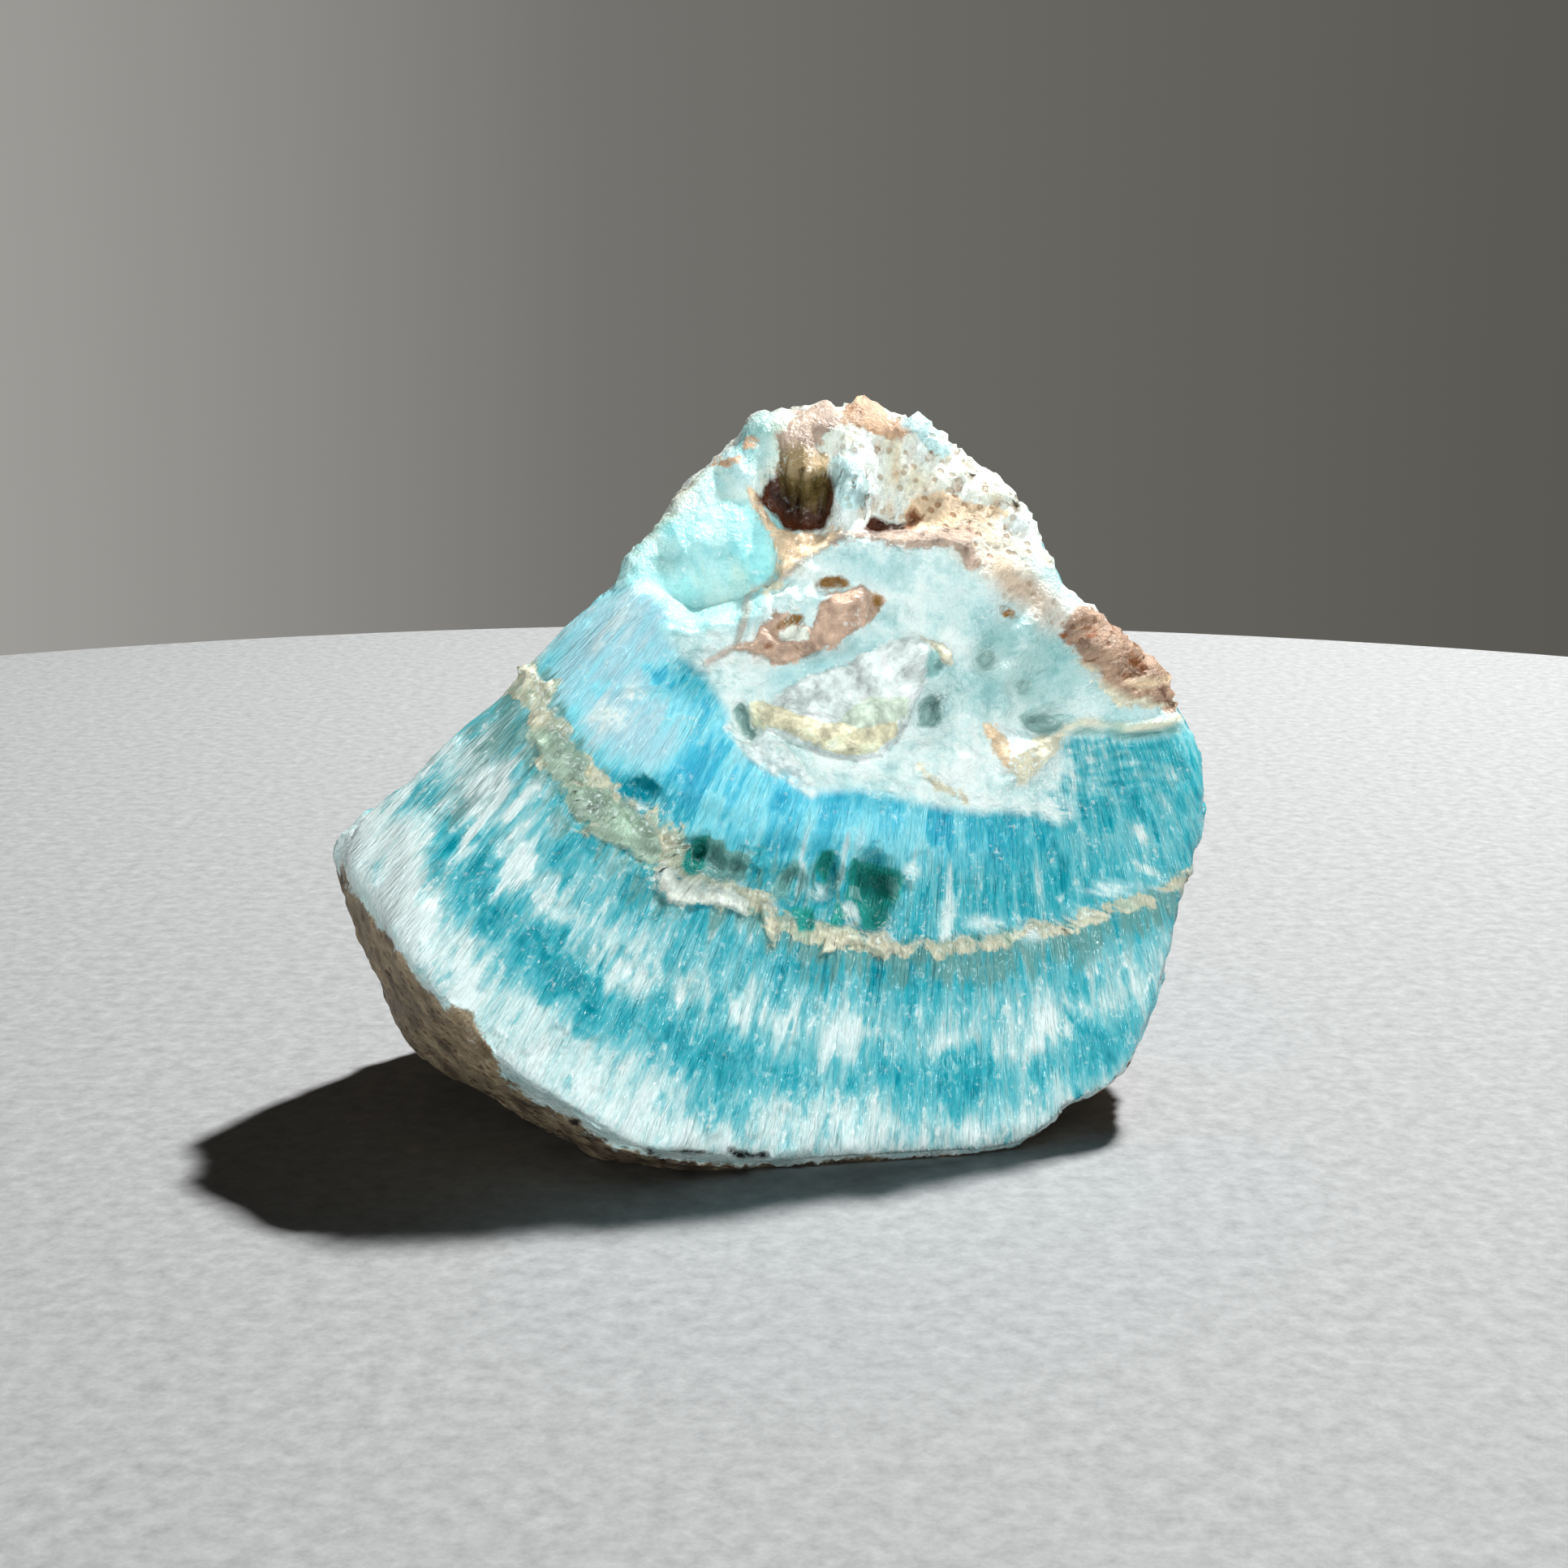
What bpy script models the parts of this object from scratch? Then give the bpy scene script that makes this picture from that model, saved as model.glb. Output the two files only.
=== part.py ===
"""Rough blue aragonite: one broken lump of fibres that grew on a thin brown rind.

Run it with: blender --background --python part.py
+Z is up, and the broken front face looks along -Y. The origin is the middle of the lump's
box, on the surface that it rests on. The tables are in millimetres, and the mesh is in metres.

The lump is a sphere of directions around a middle point, pulled out to the broken faces and
trimmed by the outline that the eye sees from in front. Its relief is pushed along the lines
of sight on the side that the eye sees, and along the surface's normal on the other sides.
"""

import math

import bmesh
import bpy
import numpy as np
from mathutils import Vector, noise

MM = 0.001

# The middle point from the origin, and the eye that looks at it, which the outline is drawn for.
MIDDLE = (0.45, -2.4, 21.6)
SIGHT_DISTANCE = 170.0
SIGHT_ELEVATION = math.radians(13.0)
RIGHT = np.array([1.0, 0.0, 0.0])
UP = np.array([0.0, math.sin(SIGHT_ELEVATION), math.cos(SIGHT_ELEVATION)])
AWAY = np.array([0.0, math.cos(SIGHT_ELEVATION), -math.sin(SIGHT_ELEVATION)])

# How finely the lump is made, and how many triangles are left of it.
SPHERE_SUBDIVISIONS = 7
TRIANGLES_KEPT = 9900

# How crisply the broken faces meet each other, and how crisply the outline trims them.
FACE_CRISPNESS = 30.0
OUTLINE_CRISPNESS = 90.0

# The outline from in front: across and up from the middle point, clockwise from the top knob.
OUTLINE = (
    (6.3, 31.2), (9.0, 29.6), (10.8, 29.5), (12.2, 28.4), (12.7, 27.0), (16.3, 24.6),
    (18.1, 22.6), (19.4, 20.8), (20.0, 19.0), (20.8, 18.4), (20.9, 17.0), (24.1, 14.9),
    (28.8, 10.6), (29.5, 7.7), (30.5, 7.0), (31.2, 5.3), (31.6, 3.0), (31.4, 0.3),
    (30.5, -4.5), (29.8, -6.0), (28.8, -10.8), (27.3, -15.1), (26.3, -19.0), (25.2, -20.0),
    (23.1, -20.5), (21.5, -21.1), (18.3, -24.2), (16.2, -25.5), (13.8, -25.9), (6.0, -25.7),
    (-1.2, -26.0), (-9.6, -25.6), (-13.1, -25.1), (-15.6, -23.6), (-20.9, -20.6),
    (-25.9, -17.9), (-27.6, -16.6), (-28.4, -14.7), (-29.4, -12.2), (-31.9, -6.1),
    (-32.6, -2.9), (-32.2, -1.2), (-31.2, 0.3), (-27.6, 3.0), (-21.0, 8.9), (-17.7, 12.5),
    (-13.4, 16.5), (-11.9, 17.4), (-11.0, 19.0), (-8.6, 21.8), (-6.3, 25.2), (-5.0, 26.4),
    (-3.2, 27.6), (-1.4, 30.2), (0.7, 30.5), (2.4, 30.5), (4.2, 30.0), (5.3, 31.0),
)

# The broken faces: which way each one looks, and how far it lies from the middle point.
BROKEN_FACES = {
    "front": ((0.182, -0.910, 0.373), 9.8),
    "front right": ((0.367, -0.875, 0.315), 11.4),
    "front foot": ((0.10, -0.50, -0.86), 26.0),
    "left facet": ((-0.60, -0.47, 0.65), 21.4),
    "blue shoulder": ((-0.42, -0.66, 0.62), 18.6),
    "rind slope": ((-0.63, -0.60, -0.49), 29.2),
    "rind belly": ((-0.55, 0.05, -0.83), 29.5),
    "left end": ((-0.97, 0.15, -0.15), 34.0),
    "right end": ((0.96, -0.20, -0.18), 31.5),
    "right brow": ((0.80, -0.45, 0.40), 27.0),
    "porous slope": ((0.62, -0.15, 0.77), 29.5),
    "front lobe": ((0.15, -0.70, 0.70), 16.8),
    "left slope": ((-0.70, -0.15, 0.70), 25.5),
    "crown": ((0.10, 0.15, 0.98), 32.5),
    "back": ((0.10, 0.97, 0.22), 20.5),
    "back left": ((-0.72, 0.66, 0.20), 26.0),
    "back right": ((0.70, 0.70, -0.10), 27.5),
    "back top": ((-0.15, 0.75, 0.64), 26.5),
    "back foot": ((0.10, 0.72, -0.69), 23.0),
    "belly": ((-0.05, 0.42, -0.91), 22.6),
    "right foot": ((0.62, -0.10, -0.78), 29.5),
}

# The point that the fibres fan out from, and the seam where two growths of them meet: the
# angle clockwise from straight down, and the distance from that point.
FAN_POINT = (14.4, 43.2)
FAN_DEPTH = -3.0
FAN_MIDDLE = RIGHT * FAN_POINT[0] + UP * FAN_POINT[1] + AWAY * FAN_DEPTH
SEAM = (
    (-23.0, 49.5), (-6.0, 51.9), (8.0, 53.3), (24.0, 52.4), (36.0, 51.1), (44.5, 47.9),
    (60.0, 45.0),
)
SEAM_LEDGE = 0.8
SEAM_RAGGED = 0.9
BACK_SEAM = 54.0

# The ribs along the fibres: how wide, how long and how deep.
RIB_WIDTH = 2.2
RIB_LENGTH = 9.0
RIB_DEPTH = 0.45

# How far away from the eye the lump touches its outline, as a share of the outline's reach, at
# angles counted anticlockwise from the right. Nearer and farther places draw in from it.
TOUCH = (
    (0, 0.07), (40, 0.0), (75, 0.0), (95, -0.06), (122, -0.28), (150, -0.36), (168, -0.34),
    (181, -0.10), (192, -0.03), (215, -0.1), (245, -0.28), (270, -0.36), (300, -0.25),
    (325, -0.1), (345, -0.03), (360, 0.07),
)
DRAW_IN = 0.28

# The relief that the eye sees fades out over this depth in front of the rim, in millimetres,
# and the other sides' relief fades in over this much turning away from the eye.
RIM_ROUNDING = 5.0
SIDE_TURN = (0.04, 0.24)

# Off the touched outline, the outline is blurred over these degrees, and blunted by about this
# much, in lumps whose size is a share of their distance from the middle point.
BLUR = (-12, -8, -4, 0, 4, 8, 12)
BLUNTED = 0.9
BLUNT_LUMPS = 0.25

# The relief that the eye sees: the size and depth of its lumps and grain, the further depth of
# the grain on the porous top, and how ragged the rims of the hollows are.
SEEN_LUMPS = (9.0, 0.35)
SEEN_GRAIN = (3.4, 0.2)
POROUS_GRAIN = 0.7
RAGGED_RIM = 0.3

# The sides that the eye doesn't see: the size and depth of lumps, ledges and grain.
SIDE_LUMPS = (11.0, 1.1)
SIDE_LEDGES = (8.0, 0.7)
SIDE_GRAIN = (3.4, 0.45)

# The edge where the front lobe ends and the hollowed top of the lump is set back.
LOBE_EDGE = (
    (-14.5, 15.8), (-13.0, 16.8), (-10.8, 17.1), (-7.8, 15.9), (-6.6, 14.7), (-3.6, 14.7),
    (-1.2, 16.2), (0.0, 18.0), (2.4, 19.5), (5.4, 21.1), (13.8, 20.7), (17.0, 19.4),
    (20.8, 18.0),
)
LOBE_STEP = 2.0

# Hollows and knobs that the eye sees: the middle, the half width and half height, the turn
# in degrees, and the depth, which is negative where the stone stands proud.
HOLLOWS = {
    "vug": ((1.2, 23.4), (3.1, 2.0), 0, 4.2),
    "bulge in the vug": ((2.2, 24.4), (1.7, 1.9), 0, -3.0),
    "little cave": ((7.6, 21.8), (1.7, 0.8), 5, 1.8),
    "cave hole": ((10.2, 22.7), (1.1, 0.8), 20, 1.2),
    "green valley": ((-5.2, 17.6), (4.4, 3.0), 15, 2.4),
    "green pit": ((-7.6, 19.3), (1.5, 1.1), 0, 1.8),
    "sliver": ((-0.4, 17.4), (1.9, 0.8), 25, 1.2),
    "left bay": ((-4.0, 23.5), (1.8, 1.5), 40, 0.9),
    "patch hole": ((0.3, 14.4), (1.3, 1.1), 0, 1.4),
    "patch slot": ((3.7, 17.6), (1.5, 0.9), -10, 1.5),
    "patch pit": ((7.4, 15.9), (0.9, 0.9), 0, 1.0),
    "lens hollow": ((-2.4, 7.0), (1.2, 1.5), 20, 1.3),
    "lip hollow": ((11.2, 7.7), (1.5, 2.3), -20, 1.6),
    "upper dimple": ((15.3, 11.9), (1.4, 1.3), 0, 1.1),
    "middle dimple": ((18.0, 9.9), (1.3, 1.2), 0, 0.9),
    "lower dimple": ((19.5, 7.2), (2.8, 1.4), 0, 1.6),
    "ochre hole": ((17.1, 15.5), (1.3, 1.1), 0, 1.3),
    "ochre slot": ((21.0, 13.5), (1.2, 0.9), -20, 1.2),
    "left pocket": ((-6.0, -3.2), (1.9, 1.7), 0, 2.6),
    "thin pocket": ((-2.8, -3.8), (1.8, 0.9), -10, 1.4),
    "oval pocket": ((0.9, -4.8), (1.1, 1.6), 0, 1.6),
    "slot pocket": ((3.4, -4.2), (0.9, 1.8), -8, 2.0),
    "main pocket": ((7.0, -5.3), (2.5, 2.7), -10, 3.4),
    "lobe in the main pocket": ((8.4, -4.8), (1.0, 1.6), -10, -1.6),
    "teal spot": ((-9.6, 1.8), (1.6, 0.9), -25, 0.9),
    "pink knob": ((2.1, 28.8), (2.6, 2.1), 0, -1.4),
    "pale knob": ((10.8, 28.0), (2.2, 1.7), -20, -1.0),
    "left knob": ((-0.9, 28.4), (2.0, 2.0), 0, -1.0),
    "smooth bump": ((5.4, 24.9), (1.9, 2.5), 0, -1.9),
    "shoulder roll": ((-13.5, 13.6), (4.0, 1.8), 38, -0.9),
    "shoulder crease": ((-9.0, 10.4), (5.5, 0.9), 6, 0.8),
    "yellow lens": ((3.0, 6.6), (4.6, 1.2), -14, -0.9),
    "yellow lens end": ((6.9, 7.4), (1.7, 1.3), 20, -0.8),
    "sugar ridge": ((0.4, 4.6), (3.0, 0.8), -36, -0.7),
    "cream lip": ((10.8, 12.2), (2.4, 1.0), -20, -0.9),
    "pink patch": ((2.4, 15.0), (4.6, 2.6), 30, -0.5),
    "inner band roll": ((4.0, 0.2), (9.0, 2.6), -6, -0.9),
    "right mass": ((25.0, 12.2), (4.2, 3.0), -38, -1.2),
    "right mass slot": ((26.1, 11.7), (1.7, 0.8), -30, 1.3),
    "right mass pit": ((22.8, 14.2), (1.4, 0.8), -30, 1.3),
    "right mass hole": ((24.9, 10.5), (0.9, 0.8), 0, 1.0),
    "beige patch": ((18.0, 4.8), (2.4, 1.4), 30, -0.7),
    "left facet bay": ((-24.0, 2.0), (3.5, 5.0), -50, 0.8),
    "left rim bay": ((-29.3, -3.5), (2.0, 3.0), 0, 0.6),
    "foot swell": ((-12.0, -14.0), (9.0, 5.0), -28, -0.8),
}


def unit(vector):
    return np.asarray(vector, float) / np.linalg.norm(vector)


def smooth_step(value, low, high):
    share = np.clip((value - low) / (high - low), 0.0, 1.0)
    return share * share * (3.0 - 2.0 * share)


def rough(points, size, seed):
    """Noise between about -1 and 1, with lumps of one size in millimetres."""
    shift = Vector((17.3, 5.1, 9.7)) * seed
    return np.array([noise.noise(Vector(point) / size + shift) for point in points])


def seen_at(points):
    """Where the eye sees each point: across and up, in the plane through the middle point."""
    scale = SIGHT_DISTANCE / (SIGHT_DISTANCE + points @ AWAY)
    return (points @ RIGHT) * scale, (points @ UP) * scale


def off_rim(directions):
    """How far behind the touched outline a direction lies, as a share of its sideways part."""
    across, up, along = directions @ RIGHT, directions @ UP, directions @ AWAY
    turn = np.degrees(np.arctan2(up, across)) % 360.0
    sideways = np.hypot(across, up)
    return along / np.maximum(sideways, 0.01) - np.interp(turn, *np.array(TOUCH).T)


def nearer_than_rim(points):
    """How many millimetres nearer to the eye than the touched outline each point lies."""
    return -off_rim(points) * np.hypot(points @ RIGHT, points @ UP)


def outline_reach(directions):
    """How far each direction runs before the eye sees it cross the outline."""
    across, up, along = directions @ RIGHT, directions @ UP, directions @ AWAY
    turn = np.degrees(np.arctan2(up, across)) % 360.0
    corners = np.array(OUTLINE)
    corner_turns = np.degrees(np.arctan2(corners[:, 1], corners[:, 0])) % 360.0
    corner_reach = np.hypot(corners[:, 0], corners[:, 1])
    sharp = np.interp(turn, corner_turns, corner_reach, period=360.0)
    smooth = sum(
        np.interp(turn + shift, corner_turns, corner_reach, period=360.0) for shift in BLUR
    ) / len(BLUR)
    sideways = np.hypot(across, up)
    off_touch = off_rim(directions)
    blunt = smooth - BLUNTED * (1.0 + rough(directions, BLUNT_LUMPS, 9))
    reach = sharp + (blunt - sharp) * smooth_step(np.abs(off_touch), 0.05, 0.4)
    reach *= 1.0 - DRAW_IN * np.minimum(np.abs(off_touch), 0.9) ** 2
    room = SIGHT_DISTANCE * sideways - reach * along
    return np.where(room > 0.001, reach * SIGHT_DISTANCE / np.maximum(room, 0.001), 1e6)


def broken_reach(directions):
    """How far each direction runs before it meets the broken faces, softly joined."""
    total = np.zeros(len(directions))
    for normal, distance in BROKEN_FACES.values():
        closeness = np.maximum(directions @ unit(normal), 0.0) / distance
        total += closeness**FACE_CRISPNESS
    return total ** (-1.0 / FACE_CRISPNESS)


def hollow_depth(across, up, rim_noise):
    """The depth of all the hollows and knobs together, at places that the eye sees."""
    depth = np.zeros(len(across))
    for (middle_across, middle_up), (half_width, half_height), turn, deep in HOLLOWS.values():
        cosine, sine = math.cos(math.radians(turn)), math.sin(math.radians(turn))
        along = (across - middle_across) * cosine + (up - middle_up) * sine
        beside = (up - middle_up) * cosine - (across - middle_across) * sine
        rim = np.hypot(along / half_width, beside / half_height) + RAGGED_RIM * rim_noise
        depth += deep * (1.0 - smooth_step(rim, 0.35, 1.3))
    return depth


def fan_place(across, up):
    """The angle clockwise from straight down and the distance, from the fan's point."""
    from_point = across - FAN_POINT[0]
    below_point = FAN_POINT[1] - up
    return np.degrees(np.arctan2(-from_point, below_point)), np.hypot(from_point, below_point)


def fibre_ribs(points):
    """Noise between about -1 and 1 that is drawn out along the fibres."""
    heading = points - FAN_MIDDLE
    distance = np.linalg.norm(heading, axis=1)[:, None]
    return rough(heading / distance * BACK_SEAM / RIB_WIDTH + distance / RIB_LENGTH, 1.0, 7)


def seam_depth(outward, ledge_noise):
    """How far the inner growth is set back, from how far outside the seam a place lies."""
    edge = outward + SEAM_RAGGED * ledge_noise
    return SEAM_LEDGE * (1.0 - smooth_step(edge, -0.7, 0.5)) * smooth_step(edge, -9.0, -2.0)


def sight_relief(points):
    """How far each place that the eye sees is pushed away from the eye."""
    across, up = seen_at(points)
    angle, distance = fan_place(across, up)
    outward = distance - np.interp(angle, *np.array(SEAM).T)
    depth = hollow_depth(across, up, rough(points, 1.8, 6))
    depth += seam_depth(outward, rough(points, 1.6, 1))
    depth += RIB_DEPTH * smooth_step(outward, -1.0, 4.0) * fibre_ribs(points)
    above_edge = up - np.interp(across, *np.array(LOBE_EDGE).T)
    depth += LOBE_STEP * smooth_step(above_edge, -0.3, 1.2)
    porous = smooth_step(above_edge, 0.0, 4.0)
    grain_size, grain_depth = SEEN_GRAIN
    depth += (grain_depth + POROUS_GRAIN * porous) * rough(points, grain_size, 2)
    return depth + SEEN_LUMPS[1] * rough(points, SEEN_LUMPS[0], 3)


def ledges(points, size, seed):
    """Noise in flat terraces with short slopes between them."""
    height = 3.0 * rough(points, size, seed)
    terrace = np.floor(height)
    return (terrace + smooth_step(height - terrace, 0.3, 0.7)) / 3.0


def side_relief(points):
    """How far each place on the other sides is pushed inward, along its normal."""
    outward = np.linalg.norm(points - FAN_MIDDLE, axis=1) - BACK_SEAM
    depth = seam_depth(outward, rough(points, 1.6, 1)) + RIB_DEPTH * fibre_ribs(points)
    depth += SIDE_LUMPS[1] * rough(points, SIDE_LUMPS[0], 4)
    depth += SIDE_LEDGES[1] * ledges(points, SIDE_LEDGES[0], 8)
    return depth + SIDE_GRAIN[1] * rough(points, SIDE_GRAIN[0], 5)


def make_lump():
    """The closed mesh of the lump, before its foot is cut flat."""
    shape = bmesh.new()
    bmesh.ops.create_icosphere(shape, subdivisions=SPHERE_SUBDIVISIONS, radius=1.0)
    directions = np.array([vertex.co[:] for vertex in shape.verts])
    directions /= np.linalg.norm(directions, axis=1)[:, None]
    closeness = (
        broken_reach(directions) ** -OUTLINE_CRISPNESS
        + outline_reach(directions) ** -OUTLINE_CRISPNESS
    )
    points = directions * (closeness ** (-1.0 / OUTLINE_CRISPNESS))[:, None]
    for vertex, point in zip(shape.verts, points):
        vertex.co = point
    shape.normal_update()
    normals = np.array([vertex.normal[:] for vertex in shape.verts])
    rays = points + AWAY * SIGHT_DISTANCE
    rays /= np.linalg.norm(rays, axis=1)[:, None]
    facing = -np.sum(normals * rays, axis=1)
    seen = smooth_step(nearer_than_rim(points), 0.0, RIM_ROUNDING)
    turned = smooth_step(-facing, *SIDE_TURN)
    points += rays * (seen * sight_relief(points))[:, None]
    points -= normals * (turned * side_relief(points))[:, None]
    for vertex, point in zip(shape.verts, points):
        vertex.co = Vector(point + MIDDLE) * MM
    mesh = bpy.data.meshes.new("blue_aragonite")
    shape.to_mesh(mesh)
    shape.free()
    return mesh


def thin_out(mesh, collection):
    """The lump as an object, with fewer triangles where it is flat."""
    lump = bpy.data.objects.new("blue_aragonite", mesh)
    collection.objects.link(lump)
    decimate = lump.modifiers.new("fewer triangles", "DECIMATE")
    decimate.ratio = TRIANGLES_KEPT / len(mesh.polygons)
    return lump


def cut_foot(lump):
    """Cut the underside off along the flat that the lump rests on."""
    graph = bpy.context.evaluated_depsgraph_get()
    mesh = bpy.data.meshes.new_from_object(lump.evaluated_get(graph))
    shape = bmesh.new()
    shape.from_mesh(mesh)
    everything = shape.verts[:] + shape.edges[:] + shape.faces[:]
    bmesh.ops.bisect_plane(
        shape,
        geom=everything,
        dist=1e-7,
        plane_co=(0.0, 0.0, 0.0),
        plane_no=(0.0, 0.0, -1.0),
        clear_outer=True,
    )
    rim = [edge for edge in shape.edges if edge.is_boundary]
    bmesh.ops.triangle_fill(shape, edges=rim, use_beauty=True, normal=(0.0, 0.0, -1.0))
    bmesh.ops.triangulate(shape, faces=shape.faces[:])
    bmesh.ops.recalc_face_normals(shape, faces=shape.faces[:])
    shape.to_mesh(mesh)
    shape.free()
    mesh.shade_smooth()
    lump.modifiers.clear()
    lump.data = mesh


def main():
    for old in list(bpy.data.objects):
        bpy.data.objects.remove(old)
    collection = bpy.data.collections.new("blue aragonite")
    bpy.context.scene.collection.children.link(collection)
    lump = thin_out(make_lump(), collection)
    cut_foot(lump)
    stone = bpy.data.materials.new("aragonite")
    stone.use_nodes = True
    shader = stone.node_tree.nodes["Principled BSDF"]
    shader.inputs["Base Color"].default_value = (0.28, 0.62, 0.68, 1.0)
    shader.inputs["Roughness"].default_value = 0.35
    shader.inputs["Metallic"].default_value = 0.0
    lump.data.materials.clear()
    lump.data.materials.append(stone)


main()
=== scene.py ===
"""The looks of the rough blue aragonite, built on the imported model.

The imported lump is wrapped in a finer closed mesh. Its grooves, crystals and pores are pushed
in or out, and its colours are painted on as point attributes that one material reads. All the
tables are in millimetres, across and up from the stone's middle point as the camera sees it.
"""

import math
from types import SimpleNamespace

import bmesh
import bpy
import numpy as np
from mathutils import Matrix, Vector
from mathutils.bvhtree import BVHTree


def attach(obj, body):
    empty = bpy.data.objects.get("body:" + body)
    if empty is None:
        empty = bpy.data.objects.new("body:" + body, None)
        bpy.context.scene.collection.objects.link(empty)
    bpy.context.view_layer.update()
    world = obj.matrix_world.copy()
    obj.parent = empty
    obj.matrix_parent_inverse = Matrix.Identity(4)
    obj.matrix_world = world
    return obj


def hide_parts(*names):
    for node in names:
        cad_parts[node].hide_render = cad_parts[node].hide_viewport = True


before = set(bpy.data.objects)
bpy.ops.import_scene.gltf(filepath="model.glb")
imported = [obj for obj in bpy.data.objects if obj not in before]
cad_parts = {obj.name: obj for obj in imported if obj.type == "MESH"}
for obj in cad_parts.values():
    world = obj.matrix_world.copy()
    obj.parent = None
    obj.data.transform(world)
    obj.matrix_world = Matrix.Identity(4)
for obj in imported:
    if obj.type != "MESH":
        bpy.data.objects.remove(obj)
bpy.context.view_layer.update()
MM = 0.001

# The middle point from the origin, and the camera that looks at it, as the model has them.
MIDDLE = np.array([0.45, -2.4, 21.6])
SIGHT_DISTANCE = 170.0
SIGHT_ELEVATION = math.radians(13.0)
RIGHT = np.array([1.0, 0.0, 0.0])
UP = np.array([0.0, math.sin(SIGHT_ELEVATION), math.cos(SIGHT_ELEVATION)])
AWAY = np.array([0.0, math.cos(SIGHT_ELEVATION), -math.sin(SIGHT_ELEVATION)])

# The picture: its width in pixels, where it shows the middle point, and its scale there.
PICTURE_WIDTH = 1932
MIDDLE_PIXEL = (960, 1010)
MM_PER_PIXEL = 0.06
SENSOR_WIDTH = 36.0

# The floor, in metres, and its darkest and palest tone as a shader takes them.
FLOOR_RADIUS = 0.25
FLOOR_GAP = 0.00002
FLOOR_GRAINS_PER_METRE = 650.0
FLOOR_TONES = ((0.155, 0.162, 0.170), (0.60, 0.62, 0.64))

# The faint even light, and the lamps: the size, the power, the place, the colour and whether a
# lamp lights the stone alone. The key stands high behind on the right.
AMBIENT_COLOUR = (1.0, 0.93, 0.84, 1.0)
AMBIENT_STRENGTH = 0.028
KEY_COLOUR = (1.0, 0.98, 0.95)
FILL_COLOUR = (0.92, 1.0, 1.0)
LAMPS = {
    "key": ((0.05, 0.05), 8.4, (0.235, 0.300, 0.575), KEY_COLOUR, False),
    "front fill": ((0.24, 0.08), 2.05, (0.14, -0.37, 0.39), FILL_COLOUR, True),
    "low fill": ((0.40, 0.03), 1.1, (0.16, -0.54, 0.02), FILL_COLOUR, True),
    "side fill": ((0.16, 0.08), 0.8, (-0.50, -0.24, 0.14), FILL_COLOUR, True),
}

# How finely the skin is made, how far out in metres its rays start and how low its foot is in
# millimetres. A turn away from the camera on an even ball ends up, in degrees, where the two
# tables say: the front gets small faces of one size and the back gets larger ones.
SKIN_CUTS = 126
EVEN_TURNS = (0.0, 20.0, 40.0, 60.0, 80.0, 100.0, 120.0, 140.0, 160.0, 180.0)
SKIN_TURNS = (0.0, 17.0, 31.5, 42.5, 51.0, 59.0, 76.0, 104.0, 139.0, 180.0)
SMOOTHING_STEPS = 8
OUTSIDE = 0.08
FOOT_HEIGHT = 0.05

# The fan that the fibres run out along: the angle clockwise from straight down and the
# distance from its point, of the seam and of the edge where the rind starts.
FAN_POINT = (14.4, 43.2)
FAN_SCALE = 55.0
SEAM = (
    (-23.0, 49.5), (-6.0, 51.7), (8.0, 53.0), (16.0, 52.6), (24.0, 51.2), (36.0, 49.8),
    (44.5, 46.9), (60.0, 45.0),
)
RIND = (
    (-30.0, 66.0), (-10.9, 66.5), (-5.1, 69.0), (0.5, 71.0), (4.0, 70.5), (6.5, 69.0),
    (12.0, 70.6), (21.4, 72.3), (24.6, 71.9), (30.5, 71.0), (36.0, 69.0), (40.7, 67.6),
    (43.2, 66.9), (46.0, 66.2), (60.0, 64.0),
)

# The line, across and up, over which the crust starts.
LOBE_EDGE = (
    (-14.5, 15.8), (-13.0, 16.8), (-10.8, 17.1), (-7.8, 15.9), (-6.6, 14.7), (-3.6, 14.7),
    (-1.2, 16.2), (0.0, 18.0), (2.4, 19.5), (5.4, 21.1), (13.8, 20.7), (17.0, 19.4), (20.8, 18.0),
)

# The white lobe in the middle of the front, the lines where things meet, and the lines that
# small crystals grow along.
LOBE = (
    (-8.8, 14.3), (-7.4, 12.4), (-5.4, 10.6), (-3.8, 8.4), (-3.4, 6.8), (-2.0, 5.0), (0.4, 3.3),
    (2.4, 2.1), (5.6, 2.5), (9.4, 1.7), (12.0, 1.0), (15.0, 0.7), (18.8, 0.8), (19.6, 3.2),
    (20.6, 5.6), (22.0, 6.7), (25.0, 6.6), (28.0, 6.8), (31.5, 7.8), (32.0, 11.0), (22.0, 18.0),
    (15.0, 23.0), (4.0, 23.0), (-1.0, 18.0), (-4.0, 15.6),
)
CONTACT_LINE = ((19.8, 6.0), (21.6, 7.0), (23.2, 7.3), (25.8, 6.7), (28.6, 7.1), (30.4, 8.0))
# Painted shade lies along this line, below the contact line.
CONTACT_SHADE = ((21.8, 6.4), (23.2, 6.6), (25.8, 6.1), (28.4, 6.4), (29.6, 6.8))
PATCH_EDGE = ((-5.4, 11.6), (-3.2, 12.9), (-1.8, 17.0), (0.0, 17.6), (1.4, 19.0), (4.6, 21.2))
CRYSTAL_LINES = (
    ((-3.5, 6.8), (-2.6, 5.7), (-1.6, 4.6), (-0.4, 3.8), (1.2, 3.1), (2.4, 2.1)),
    ((-1.2, 6.3), (0.0, 5.3), (1.2, 4.4), (1.7, 3.5)),
    ((5.6, 3.6), (7.4, 3.0), (9.2, 2.0)),
    ((9.6, 4.0), (11.2, 3.4), (13.4, 2.7), (16.0, 1.9), (18.4, 0.9)),
    ((4.8, 20.9), (6.0, 20.4), (7.6, 20.3), (9.4, 20.0)),
    ((0.2, 16.9), (1.0, 16.4), (1.4, 15.6)),
)

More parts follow.
